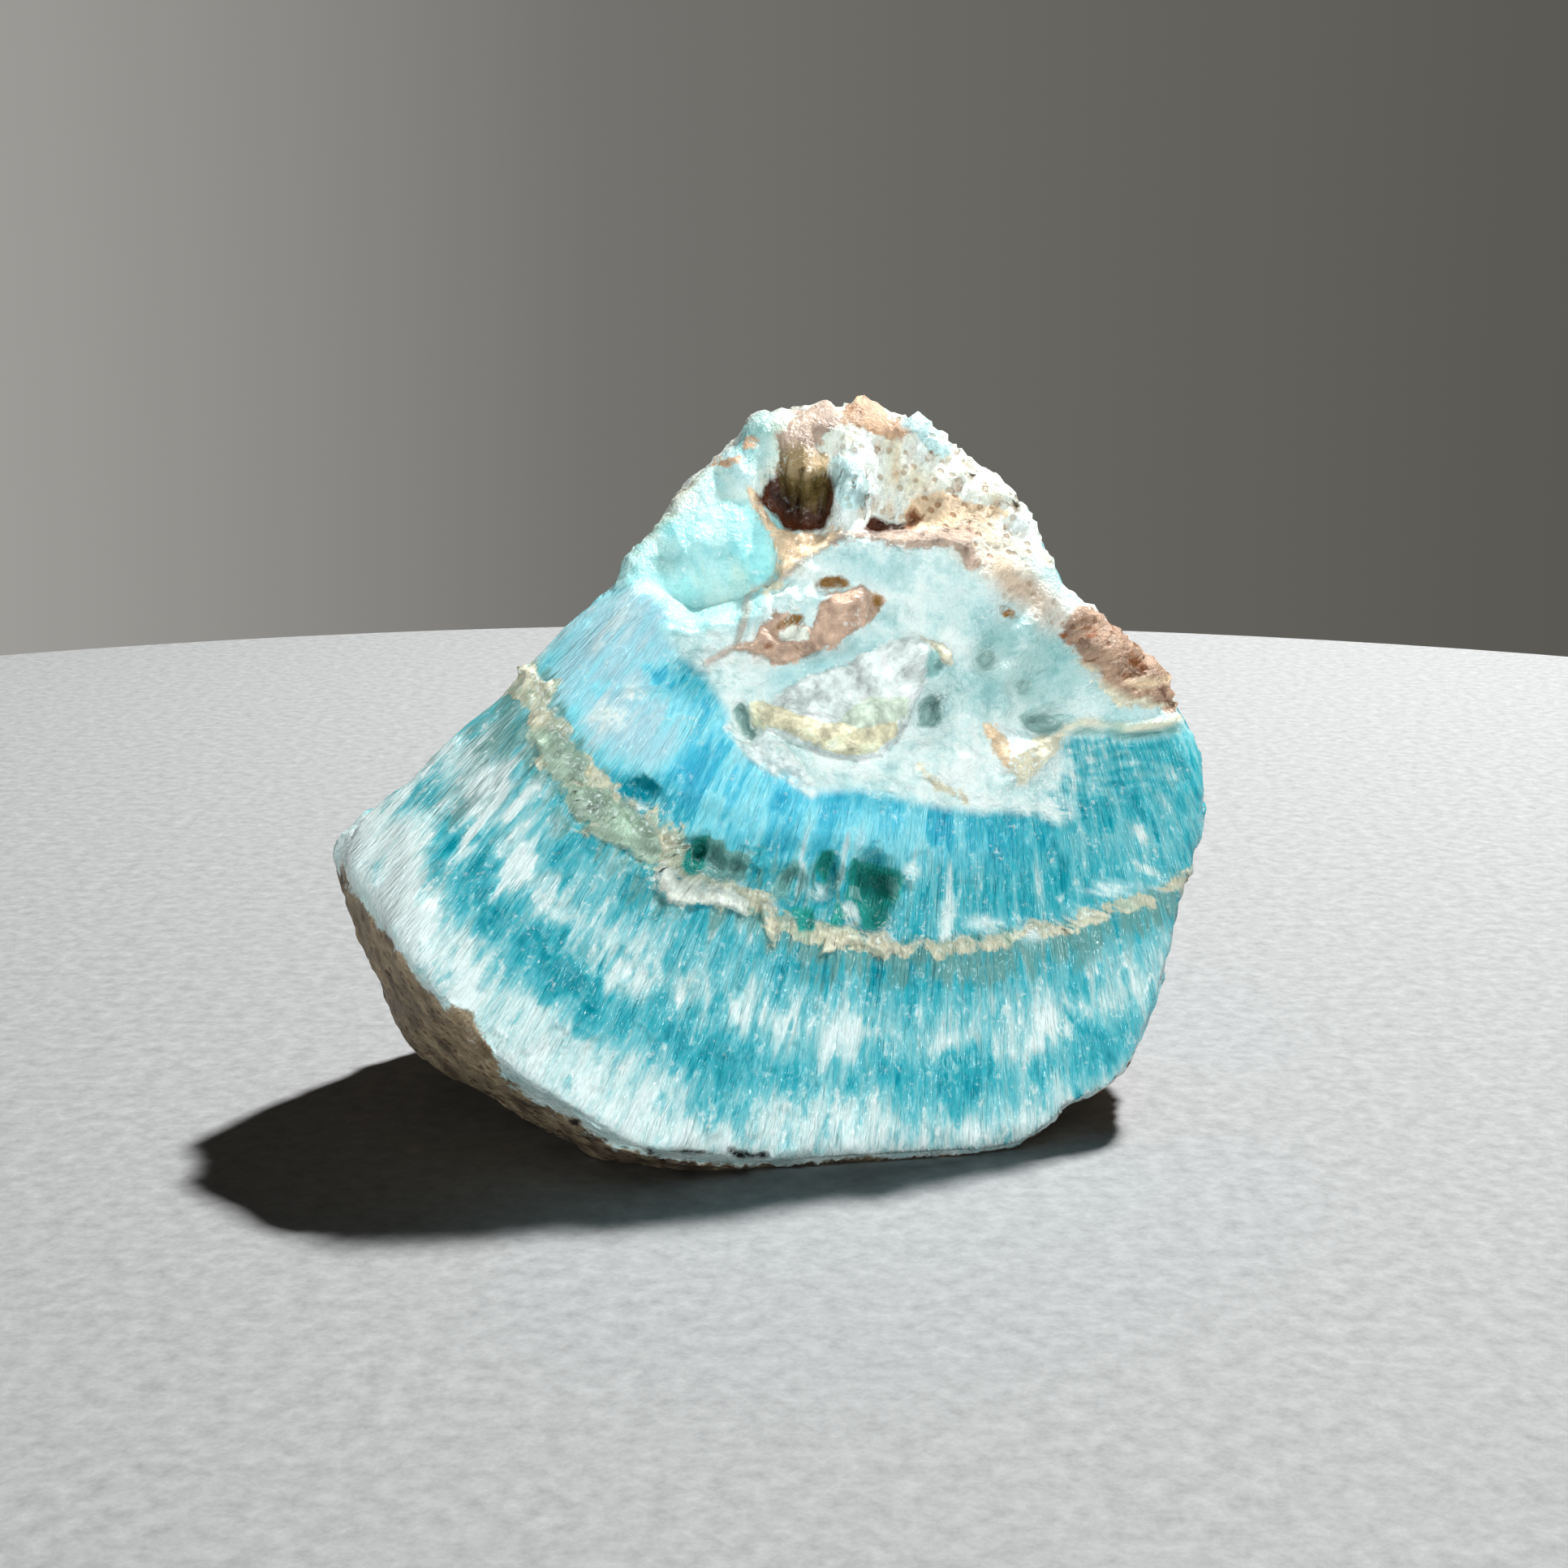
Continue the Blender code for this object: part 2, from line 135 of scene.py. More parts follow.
# Colours as the screen shows them, from 0 to 255.
DEEP_TEAL = (4, 146, 164)
TEAL = (58, 176, 190)
AQUA = (124, 198, 206)
PALE = (194, 224, 225)
WHITE = (240, 248, 245)
FIBRE_WHITE = (232, 244, 243)
RIM_PALE = (208, 228, 224)
MASS_BROWN = (176, 142, 118)
DEEP_AZURE = (24, 166, 206)
AZURE = (84, 204, 232)
BRIGHT_AZURE = (150, 236, 250)
HAZE = (178, 222, 234)
LIT_TURQUOISE = (176, 244, 246)
# Painted shade on the aqua parts.
SHADE_AQUA = (146, 192, 190)
SEAM_TAN = (200, 196, 172)
OLIVE = (168, 190, 170)
SHADE_OLIVE_TEAL = (106, 156, 148)
PINK_BROWN = (200, 166, 144)
DEEP_PINK = (184, 138, 114)
GREY_PINK = (186, 160, 142)
CREAM = (232, 224, 198)
PALE_CREAM = (236, 238, 226)
LENS_YELLOW = (246, 236, 202)
LENS_GREEN = (222, 234, 216)
TAN = (232, 202, 168)
ORANGE_TAN = (206, 166, 134)
OCHRE = (140, 98, 40)
RIND_BROWN = (92, 76, 58)
RIND_SAND = (158, 138, 110)
RIND_DARK = (54, 42, 30)
BLACK = (22, 18, 15)
POCKET_GREEN = (48, 170, 160)
# The grey of the pockets, partly their own colour and partly painted shade.
POCKET_SHADE_GREY = (140, 194, 190)
# The grey-green of the small hollows and dimples: painted shade.
HOLLOW_SHADE_GREY = (152, 184, 180)
VUG_BROWN = (84, 38, 14)
SLOT_BROWN = (138, 80, 36)
# The ball in the cave: olive darkened with painted shade, and its top a painted highlight.
BULGE_SHADE_OLIVE = (118, 98, 52)
BULGE_HIGHLIGHT_TAN = (168, 142, 100)
SEAM_FADE = (104, 156, 152)
CLOUD_SHADE = (208, 230, 232)
CLOUD_PALE = (236, 247, 248)
PLAIN = (255, 255, 255)
PORE_TAN = (176, 136, 96)

# Which colour a value gives: each stop is a value and the colour there.
TEAL_STOPS = ((0.0, DEEP_TEAL), (0.25, TEAL), (0.5, AQUA), (0.72, PALE), (0.95, FIBRE_WHITE))
BLUE_STOPS = (
    (0.0, DEEP_AZURE), (0.25, AZURE), (0.5, BRIGHT_AZURE), (0.75, HAZE), (1.0, FIBRE_WHITE),
)
CLOUD_STOPS = ((0.38, CLOUD_SHADE), (0.46, CLOUD_PALE), (0.54, PLAIN))
LOBE_STOPS = ((0.0, AQUA), (0.4, PALE), (0.9, WHITE))
CRUST_STOPS = ((0.0, TAN), (0.2, CREAM), (0.45, PALE_CREAM), (0.8, WHITE))
SUGAR_STOPS = ((0.1, PALE), (0.5, WHITE))
SEAM_STOPS = ((0.1, OLIVE), (0.5, SEAM_TAN), (0.95, CREAM))
RIND_STOPS = ((0.05, RIND_DARK), (0.4, RIND_BROWN), (0.9, RIND_SAND))

# The plain backdrop from its left to its right, lighter on the left: painted light and shade.
BACKDROP = (
    (0.05, (164, 162, 158)), (0.4, (116, 115, 111)), (0.6, (104, 103, 98)), (0.95, (88, 86, 80)),
)

# The strands of the fibres, from wide ones to hairs, then white flakes and deep windows: how many
# to a millimetre across, along and into the stone, and how finely broken up they are. The tones
# are the noise's low and high end, and how much whiter the fibres are at each.
# The white flakes are partly white fibres and partly painted glints.
STRANDS = (
    ((0.75, 0.14, 0.5), 2.0), ((2.0, 0.32, 0.8), 3.0), ((6.0, 0.6, 1.2), 2.0),
    ((1.2, 0.55, 0.8), 6.0), ((1.2, 0.35, 0.7), 4.0),
)
STRAND_TONES = (
    (0.30, 0.70, -0.12, 0.20), (0.30, 0.70, -0.14, 0.18), (0.35, 0.65, -0.05, 0.05),
    (0.59, 0.65, 0.0, 0.28), (0.57, 0.65, 0.0, -0.18),
)

# How much of that the smooth blue parts keep.
CALM_BLUE = 0.25

# How white the fibres are along their growth: from the crust over the seam, which is 0, to the
# rind, which is 1.
BAND_PLACES = (
    -1.0, -0.5, -0.3, -0.1, -0.02, 0.06, 0.16, 0.27, 0.38, 0.47, 0.56, 0.66, 0.76, 0.9,
)
BAND_WHITES = (
    0.46, 0.32, 0.24, 0.24, 0.30, 0.22, 0.30, 0.46, 0.60, 0.40, 0.22, 0.38, 0.66, 0.76,
)

# The grain of the stone's surface, and how it shines, scatters light and is roughened. The
# lengths are in metres.
GRAINS_PER_METRE = 2400.0
SPECKLES_PER_METRE = 700.0
PORES_PER_METRE = 1100.0
CLOUDS_PER_METRE = 420.0
WET_ROUGHNESS = (0.08, 0.30)
DRY_ROUGHNESS = 0.42
STONE_IOR = 1.55
SCATTER_SHARE = 0.15
SCATTER_RADIUS = (0.9, 1.0, 1.0)
SCATTER_DEPTH = 0.0005
BUMP_HEIGHT = 0.0003

# The relief, in millimetres: the fibres, the large and small crystals on the seam, the sugary
# spots and the growths, the pits, crumbs and waves of the crust, the lobe, and the rind.
GROOVE, FLAKE, FIBRE_WAVE = 0.8, 0.34, 0.35
SEAM_CRYSTALS, SUGAR_CRYSTALS, GROWTH_CRYSTALS = (0.9, 0.3), (0.5, 0.4), 0.35
PIT, FINE_PIT, PIT_WAVE = 1.1, 0.6, 0.4
CRUMB, CRUMB_CRYSTALS, CRUMB_WAVE = 0.5, 0.3, 0.45
LOBE_WAVES = (0.5, 0.3)
RIND_WAVE, RIND_PIT = 0.3, 0.2
CONTACT_RIDGE, PATCH_RIDGE = 0.5, 0.3

# The green hollow on the left is filled up again by this much: its middle, half sizes and turn.
VALLEY = ((-5.2, 17.6), (5.6, 4.2), 15)
VALLEY_FILL = 1.5

# How far outside an outline a point may lie and still be asked for its distance.
OUT_OF_REACH = 1.5

# Crusts and crystals that grew on the front: the colour, how high they stand and the outline.
GROWTHS = {
    "pink patch": (PINK_BROWN, 0.35, ((-3.3, 12.6), (-1.8, 13.4), (-1.2, 14.7), (-0.3, 15.6),
        (2.4, 14.2), (3.0, 16.6), (6.2, 17.2), (7.8, 16.2), (7.5, 15.2), (5.8, 14.0), (4.0, 12.7),
        (2.0, 12.0), (0.0, 11.4), (-1.0, 11.9))),
    "patch shelf": (PALE_CREAM, 0.15, ((0.0, 13.9), (0.9, 14.4), (2.1, 14.1), (2.2, 13.4),
        (1.3, 13.0), (0.3, 13.2))),
    "patch crumbs": (CREAM, 0.3, ((-1.8, 17.0), (-0.6, 17.8), (0.2, 17.4), (-0.8, 16.5))),
    "lobe flake": (WHITE, 0.5, ((-2.2, 7.6), (1.4, 10.2), (5.4, 11.8), (8.6, 13.4), (10.6, 13.7),
        (12.0, 12.0), (10.8, 10.2), (9.6, 7.0), (7.6, 4.6), (4.8, 4.3), (0.4, 5.9))),
    "lens": (LENS_YELLOW, 0.7, ((-2.5, 8.3), (-1.4, 8.7), (0.8, 8.2), (3.2, 7.2), (5.0, 7.2),
        (6.6, 8.5), (8.8, 8.4), (8.7, 6.4), (7.2, 5.0), (5.0, 4.6), (3.2, 5.2), (0.8, 6.4),
        (-1.8, 7.0))),
    "lens end": (LENS_GREEN, 0.5, ((4.4, 7.2), (5.2, 8.2), (6.8, 9.2), (9.6, 9.0), (9.6, 7.6),
        (8.0, 7.0), (5.8, 6.8))),
    "lip": (CREAM, 0.8, ((10.2, 13.8), (11.0, 13.3), (12.1, 13.2), (12.8, 12.4), (12.8, 11.5),
        (12.2, 11.4), (11.3, 12.7))),
    "ridge crust": (GREY_PINK, 0.5, ((3.8, 20.5), (4.6, 21.3), (8.4, 21.5), (14.2, 21.8),
        (14.7, 20.6), (14.5, 19.6), (15.4, 18.7), (14.2, 18.6), (12.6, 20.5), (9.6, 20.1),
        (6.4, 20.9))),
    "cave sill": (TAN, 0.3, ((-0.9, 21.3), (0.2, 21.5), (3.6, 21.2), (4.6, 21.7), (4.4, 21.0),
        (1.8, 19.2), (-0.3, 17.8), (0.1, 19.2), (-0.3, 20.3))),
    "cave spur": (TAN, 0.7, ((-2.4, 24.9), (-1.7, 24.4), (-1.2, 23.0), (-0.2, 22.2), (-0.4, 21.5),
        (-1.4, 21.8), (-1.8, 23.2))),
    # A painted highlight on the top of the ball in the cave.
    "bulge highlight": (BULGE_HIGHLIGHT_TAN, 0.5, ((-0.2, 26.8), (0.0, 25.6), (0.8, 25.0), (2.2, 24.8),
        (3.5, 25.3), (3.6, 26.6), (2.6, 27.6), (0.8, 27.6))),
    "brown knob": (GREY_PINK, 0.6, ((-0.5, 28.5), (1.4, 30.2), (3.0, 30.6), (4.4, 30.0),
        (4.2, 28.8), (2.6, 27.3), (1.0, 27.4))),
    "top nub": (ORANGE_TAN, 0.4, ((4.6, 30.0), (6.2, 31.6), (8.0, 29.9), (10.2, 28.9), (9.4, 28.1),
        (7.2, 28.4), (5.8, 28.9))),
    "aqua knob": (PALE, 0.4, ((8.8, 29.8), (10.4, 29.9), (12.2, 28.8), (12.9, 27.2), (11.8, 26.9),
        (9.6, 28.6))),
    "smooth bump": (PALE, 0.5, ((3.9, 26.9), (4.7, 27.1), (6.2, 25.7), (7.0, 24.4), (6.4, 23.1),
        (4.6, 22.9), (3.9, 24.4))),
    "tan slope": (TAN, -0.1, ((8.6, 22.3), (9.8, 23.9), (12.2, 24.2), (15.6, 23.1), (17.2, 22.6),
        (14.2, 21.6), (10.0, 21.4))),
    "left crest": (ORANGE_TAN, 0.1, ((-6.0, 26.3), (-3.2, 27.0), (-2.6, 28.2), (-0.6, 28.4),
        (-2.2, 27.2), (-4.4, 26.1))),
    "right mass": (MASS_BROWN, 0.4, ((20.9, 14.2), (22.4, 15.8), (24.8, 14.9), (27.8, 12.2),
        (30.0, 10.2), (29.8, 8.2), (28.6, 8.1), (27.6, 8.7), (25.2, 8.6), (23.8, 10.4),
        (21.7, 12.3))),
    "mass rim": (CREAM, 0.35, ((22.3, 11.8), (23.4, 10.9), (24.1, 9.9), (25.6, 9.1), (28.4, 8.7),
        (27.4, 8.2), (25.0, 8.4), (23.8, 9.6))),
    "mass bar": (TAN, 0.3, ((25.8, 10.4), (27.4, 10.7), (29.2, 10.4), (28.6, 10.0), (26.6, 9.8))),
    "orange streak": (TAN, 0.3, ((15.0, 7.2), (15.7, 7.3), (16.9, 5.6), (17.6, 4.3), (17.0, 3.5),
        (16.3, 4.2), (15.5, 6.0))),
    "beige sugar": (CREAM, 0.3, ((16.9, 4.2), (18.6, 5.7), (19.8, 6.5), (21.4, 6.4), (20.4, 5.0),
        (19.0, 3.2), (17.8, 2.6))),
    "beige edge": (CREAM, 0.2, ((10.3, 4.2), (11.6, 3.0), (13.6, 2.1), (14.2, 1.2), (12.4, 1.9),
        (10.8, 2.9))),
    "seam head": (OLIVE, 0.2, ((-18.8, 6.5), (-16.6, 6.7), (-14.7, 5.1), (-14.1, 3.8),
        (-14.6, 2.7), (-16.4, 3.0), (-17.8, 4.9))),
    "seam lumps": (OLIVE, 0.6, ((-16.4, 2.6), (-14.6, 2.5), (-12.4, 2.3), (-11.9, 1.0),
        (-13.4, -0.3), (-15.0, 0.1), (-15.6, 1.2))),
    "seam glass": (OLIVE, 0.2, ((-12.0, 1.4), (-11.4, 1.5), (-9.2, -0.8), (-8.6, -2.4),
        (-9.2, -3.4), (-11.6, -2.1), (-14.8, -0.9), (-12.8, 0.0))),
    "pocket sill": (PALE_CREAM, 0.4, ((-8.5, -3.0), (-7.6, -4.1), (-5.6, -4.8), (-4.0, -4.9),
        (-2.2, -6.0), (-2.4, -7.0), (-4.6, -6.3), (-8.2, -6.2), (-9.4, -5.0))),
    "crystal tuft": (CREAM, 0.5, ((-1.4, -6.2), (-0.7, -6.1), (0.2, -8.2), (-0.2, -9.4),
        (-1.0, -8.4))),
    "pocket foot": (CREAM, 0.6, ((3.8, -8.0), (5.6, -7.7), (6.4, -8.4), (7.9, -8.2), (8.5, -9.8),
        (7.6, -10.2), (6.0, -9.1), (3.2, -9.9))),
    "sandy rind": (RIND_SAND, 0.2, ((-25.2, -14.2), (-24.0, -13.7), (-22.8, -14.4), (-21.4, -16.4),
        (-20.6, -18.6), (-19.8, -20.2), (-22.0, -19.4), (-23.4, -17.0), (-24.9, -15.4))),
}

# Holes and hollows in the front: the colour, the depth and the outline.
# The black marks on the rind are its own colour.
# Their colours are darker than the stone around them: partly their own, partly painted shade.
HOLES = {
    "cave": (VUG_BROWN, 2.4, ((-1.6, 24.0), (-1.3, 23.1), (-0.1, 22.2), (0.3, 21.6), (1.1, 21.3),
        (3.3, 21.4), (3.9, 22.2), (4.0, 24.2), (3.6, 25.6), (2.0, 25.2), (0.4, 25.6),
        (-0.6, 25.2))),
    "little cave": (VUG_BROWN, 1.4, ((6.0, 21.5), (6.5, 22.1), (7.3, 22.4), (8.9, 21.9),
        (9.3, 21.5), (6.6, 21.2))),
    "cave chimney": (SLOT_BROWN, 0.9, ((9.4, 21.6), (9.5, 22.9), (9.8, 23.6), (10.2, 22.7),
        (10.9, 22.3), (10.1, 21.7))),
    "patch hole": (OCHRE, 1.0, ((-0.3, 14.0), (0.0, 14.7), (0.8, 15.1), (1.7, 15.2), (2.1, 14.2),
        (0.9, 14.4))),
    "patch slot": (OCHRE, 1.0, ((2.5, 17.2), (3.1, 17.9), (4.4, 18.2), (5.0, 17.8), (5.0, 17.2),
        (3.4, 17.1))),
    "patch pit": (OCHRE, 0.8, ((6.9, 15.9), (7.0, 16.5), (7.5, 16.5), (7.7, 15.9), (7.3, 15.6))),
    "patch pore": (SLOT_BROWN, 0.5, ((-1.1, 12.7), (-0.8, 13.0), (-0.5, 12.8), (-0.8, 12.6))),
    "lens hollow": (HOLLOW_SHADE_GREY, 1.1, ((-3.4, 8.3), (-2.8, 8.6), (-2.3, 8.3), (-2.3, 7.3),
        (-1.6, 6.3), (-2.0, 5.7), (-2.9, 6.7))),
    "lip hollow": (HOLLOW_SHADE_GREY, 1.1, ((10.3, 8.4), (10.8, 9.2), (11.4, 9.5), (12.0, 8.7),
        (12.1, 7.4), (11.7, 6.8), (10.2, 6.9))),
    "lip shade": (SHADE_AQUA, 0.4, ((10.8, 11.3), (11.2, 12.5), (11.7, 12.1), (12.3, 11.3),
        (11.8, 10.5), (10.9, 10.6))),
    "upper dimple": (HOLLOW_SHADE_GREY, 1.0, ((14.6, 12.0), (15.0, 12.7), (15.8, 12.7), (16.1, 12.0),
        (15.8, 11.0), (15.0, 11.1))),
    "middle dimple": (HOLLOW_SHADE_GREY, 1.0, ((17.5, 9.9), (17.9, 10.5), (18.5, 10.3), (18.7, 9.7),
        (18.2, 9.2), (17.7, 9.3))),
    "lower dimple": (HOLLOW_SHADE_GREY, 1.1, ((17.7, 7.8), (18.8, 7.9), (20.4, 7.7), (21.2, 7.0),
        (20.6, 6.4), (19.2, 6.2), (18.2, 6.8))),
    "ochre hole": (OCHRE, 0.8, ((15.9, 15.8), (16.3, 16.1), (17.2, 15.6), (17.9, 15.0),
        (17.4, 14.7), (16.7, 15.0))),
    "ochre slot": (SLOT_BROWN, 0.8, ((20.6, 13.8), (21.3, 13.9), (21.6, 12.8), (21.2, 12.6),
        (20.8, 13.3))),
    "mass slot": (SLOT_BROWN, 1.0, ((22.3, 14.9), (22.8, 14.9), (23.5, 13.6), (23.3, 13.1),
        (22.8, 13.5), (22.4, 14.3))),
    "mass pit": (SLOT_BROWN, 0.7, ((23.6, 12.5), (24.0, 12.8), (24.4, 12.4), (24.0, 12.1))),
    "mass cleft": (SLOT_BROWN, 1.0, ((25.3, 12.5), (26.2, 12.4), (27.2, 11.2), (27.2, 10.8),
        (26.4, 10.8), (25.9, 11.5))),
    "mass line": (SLOT_BROWN, 0.6, ((24.5, 11.2), (25.3, 10.9), (26.2, 10.1), (25.3, 10.4))),
    "mass end": (VUG_BROWN, 0.8, ((28.0, 9.8), (28.4, 10.0), (28.8, 9.6), (28.4, 9.3))),
    "mass dent": (GREY_PINK, 0.5, ((24.3, 13.8), (24.8, 13.8), (25.2, 12.9), (24.6, 12.7))),
    "left pocket": (POCKET_GREEN, 1.3, ((-7.3, -3.6), (-6.9, -2.4), (-6.1, -1.3), (-5.1, -1.1),
        (-5.0, -2.6), (-5.7, -4.0), (-6.9, -4.2))),
    "shaded pocket": (POCKET_SHADE_GREY, 0.9, ((-5.2, -1.2), (-4.2, -1.6), (-3.6, -2.4), (-2.3, -2.6),
        (-2.0, -3.5), (-2.8, -4.4), (-4.2, -4.6), (-5.7, -4.2))),
    "teal slot": (TEAL, 0.6, ((-1.9, -2.1), (-1.2, -1.8), (-0.8, -2.6), (-1.2, -3.6),
        (-2.0, -3.4))),
    "oval pocket": (POCKET_SHADE_GREY, 0.9, ((-0.6, -5.0), (0.2, -3.8), (1.4, -3.0), (1.5, -3.8),
        (0.8, -5.4), (-0.2, -6.0))),
    "slot pocket": (POCKET_GREEN, 0.9, ((2.8, -3.6), (3.0, -2.4), (3.8, -2.3), (4.0, -2.8),
        (3.6, -4.4), (3.2, -5.0))),
    "main pocket": (POCKET_GREEN, 1.3, ((5.1, -3.4), (5.4, -2.8), (7.6, -3.6), (8.8, -3.8),
        (9.3, -4.2), (9.1, -5.4), (8.1, -6.6), (8.0, -7.6), (7.2, -8.3), (6.2, -8.1), (5.8, -6.4),
        (4.9, -5.6))),
    "little pocket": (POCKET_GREEN, 0.9, ((4.0, -6.3), (4.6, -6.0), (4.9, -7.0), (4.6, -7.8),
        (4.0, -7.6))),
    "gap below": (POCKET_GREEN, 0.6, ((0.9, -6.6), (2.6, -6.6), (2.6, -8.0), (1.4, -8.4))),
    "tuft hole": (POCKET_SHADE_GREY, 0.6, ((-1.3, -6.6), (-0.8, -6.5), (-0.7, -7.3), (-1.2, -7.2))),
    "teal window": (DEEP_TEAL, 0.3, ((-12.1, 2.1), (-11.2, 2.8), (-9.9, 3.6), (-8.8, 2.5),
        (-9.2, 1.6), (-10.3, 1.4))),
    "rind speck": (BLACK, 0.2, ((-15.6, -22.1), (-15.0, -22.2), (-14.8, -22.6), (-15.4, -22.5))),
    "rind chip": (BLACK, 0.2, ((-13.2, -23.7), (-12.8, -23.6), (-12.6, -24.0), (-13.1, -23.9))),
    "edge chip": (BLACK, 0.2, ((-9.8, -24.4), (-9.3, -24.4), (-9.2, -24.8), (-9.7, -24.8))),
    "edge line": (BLACK, 0.2, ((-8.0, -24.3), (-5.2, -24.4), (-4.8, -24.7), (-6.4, -24.6))),
    "edge stain": (BLACK, 0.2, ((-3.8, -24.3), (-1.0, -24.6), (-0.8, -24.9), (-3.2, -25.0))),
}

# The painted shade in a hole: how much darker its middle is, and how deep it is there.
HOLE_SHADE = 0.45
DARKEST_DEPTH = 1.6

# What stands up from the floor of a hole, in the same form as the growths.
BULGES = {
    "cave bulge": (BULGE_SHADE_OLIVE, 1.8, ((0.0, 27.0), (0.1, 24.9), (0.6, 23.8), (1.7, 23.2),
        (2.9, 23.2), (3.5, 23.9), (3.7, 25.2), (3.4, 27.0))),
    "pocket lobe": (POCKET_SHADE_GREY, 0.9, ((8.1, -4.2), (8.8, -4.1), (9.0, -5.0), (8.5, -6.1),
        (8.1, -6.2))),
    "pocket shelf": (POCKET_SHADE_GREY, 0.8, ((5.0, -4.9), (5.9, -4.9), (6.1, -6.0), (5.2, -5.7))),
}

# Soft washes over the crust and the lobe: the colour, the middle, the half sizes, the turn and
# the strength.
# The washes in the shade aqua and the hollow grey are painted shade.
WASHES = {
    # The valley's turquoise is painted brighter than its own colour: partly painted light.
    "valley": (LIT_TURQUOISE, (-5.6, 18.6), (7.0, 4.4), 24, 1.0),
    "valley hollow": (SHADE_AQUA, (-4.8, 16.0), (2.8, 1.1), 8, 0.8),
    "valley pit": (HOLLOW_SHADE_GREY, (-8.2, 19.2), (2.0, 1.1), 20, 0.8),
    "valley ridge": (AQUA, (-4.0, 20.2), (3.4, 1.0), 25, 0.7),
    "left aqua": (AQUA, (-3.4, 26.0), (3.4, 1.6), 42, 0.75),
    # Painted shade on the left of the crest.
    "left shade": (SHADE_AQUA, (-1.4, 29.0), (1.8, 1.4), 20, 0.7),
    "front top": (WHITE, (8.6, 18.2), (7.0, 2.6), -6, 1.0),
    "top blue": (AQUA, (6.6, 18.8), (2.6, 1.4), -10, 0.5),
    "right top": (PALE, (14.0, 15.8), (3.2, 2.2), -20, 0.6),
    "slope tan": (TAN, (14.6, 20.4), (5.4, 1.5), -40, 0.75),
    "low slope tan": (ORANGE_TAN, (19.0, 16.2), (3.6, 1.2), -42, 0.7),
    "right shade": (SHADE_AQUA, (18.4, 11.6), (4.2, 2.6), -20, 0.8),
    "low shade": (SHADE_AQUA, (16.8, 9.0), (4.4, 1.6), -12, 0.6),
    "lobe aqua": (AQUA, (4.6, 10.4), (5.8, 2.4), 8, 0.7),
    "lobe green": (PALE, (8.8, 10.6), (2.4, 3.4), 0, 0.6),
    "lobe white": (WHITE, (13.2, 5.6), (4.4, 3.0), -20, 0.85),
    "right green": (PALE, (26.0, 7.6), (4.0, 0.8), -6, 0.7),
    "sill orange": (ORANGE_TAN, (0.8, 19.3), (0.9, 1.0), 40, 0.7),
    "patch depth": (DEEP_PINK, (0.4, 12.3), (3.2, 0.6), 4, 0.6),
    "mass grey": (GREY_PINK, (24.2, 11.0), (2.2, 0.9), -45, 0.7),
}

# The washes where the stone is dry and porous.
DRY_WASHES = ("slope tan", "low slope tan")

# Bluer parts of the fibres: how much whiter, the middle, the half sizes, the turn and the
# strength.
BLUE_AREAS = {
    "shoulder": (0.28, (-11.8, 12.6), (7.4, 4.0), 38, 1.0),
    "band": (0.18, (-5.4, 5.2), (9.0, 3.8), -26, 1.0),
    "left band": (0.4, (-11.0, 6.4), (4.0, 3.0), 0, 0.8),
    "haze": (0.18, (2.4, -0.4), (9.5, 2.2), -4, 0.8),
    "lower band": (-0.2, (3.4, 1.6), (7.0, 1.8), -6, 0.9),
    "columns": (0.0, (13.0, -1.4), (6.0, 2.2), 0, 0.35),
}

# How far inside the seam its glassy beige part starts on the left.
SEAM_GLASS = 1.2

# Thin growth rings at the right end: how far apart, the middle, the half sizes and the turn.
RING_SPACING = 0.55
RINGS = ((25.6, 4.4), (3.0, 2.4), 0)

# Beige parts of the fibres: the middle, the half sizes, the turn and the strength.
BEIGE_AREAS = (
    ((-20.2, 7.4), (2.2, 4.0), -32, 0.9), ((-16.4, 4.6), (2.4, 2.0), -40, 0.9),
    ((-22.6, 2.2), (1.4, 3.4), -50, 0.6), ((-9.6, -5.4), (3.4, 1.4), -32, 0.8),
    ((1.6, -4.8), (7.4, 2.0), -8, 0.6),
)

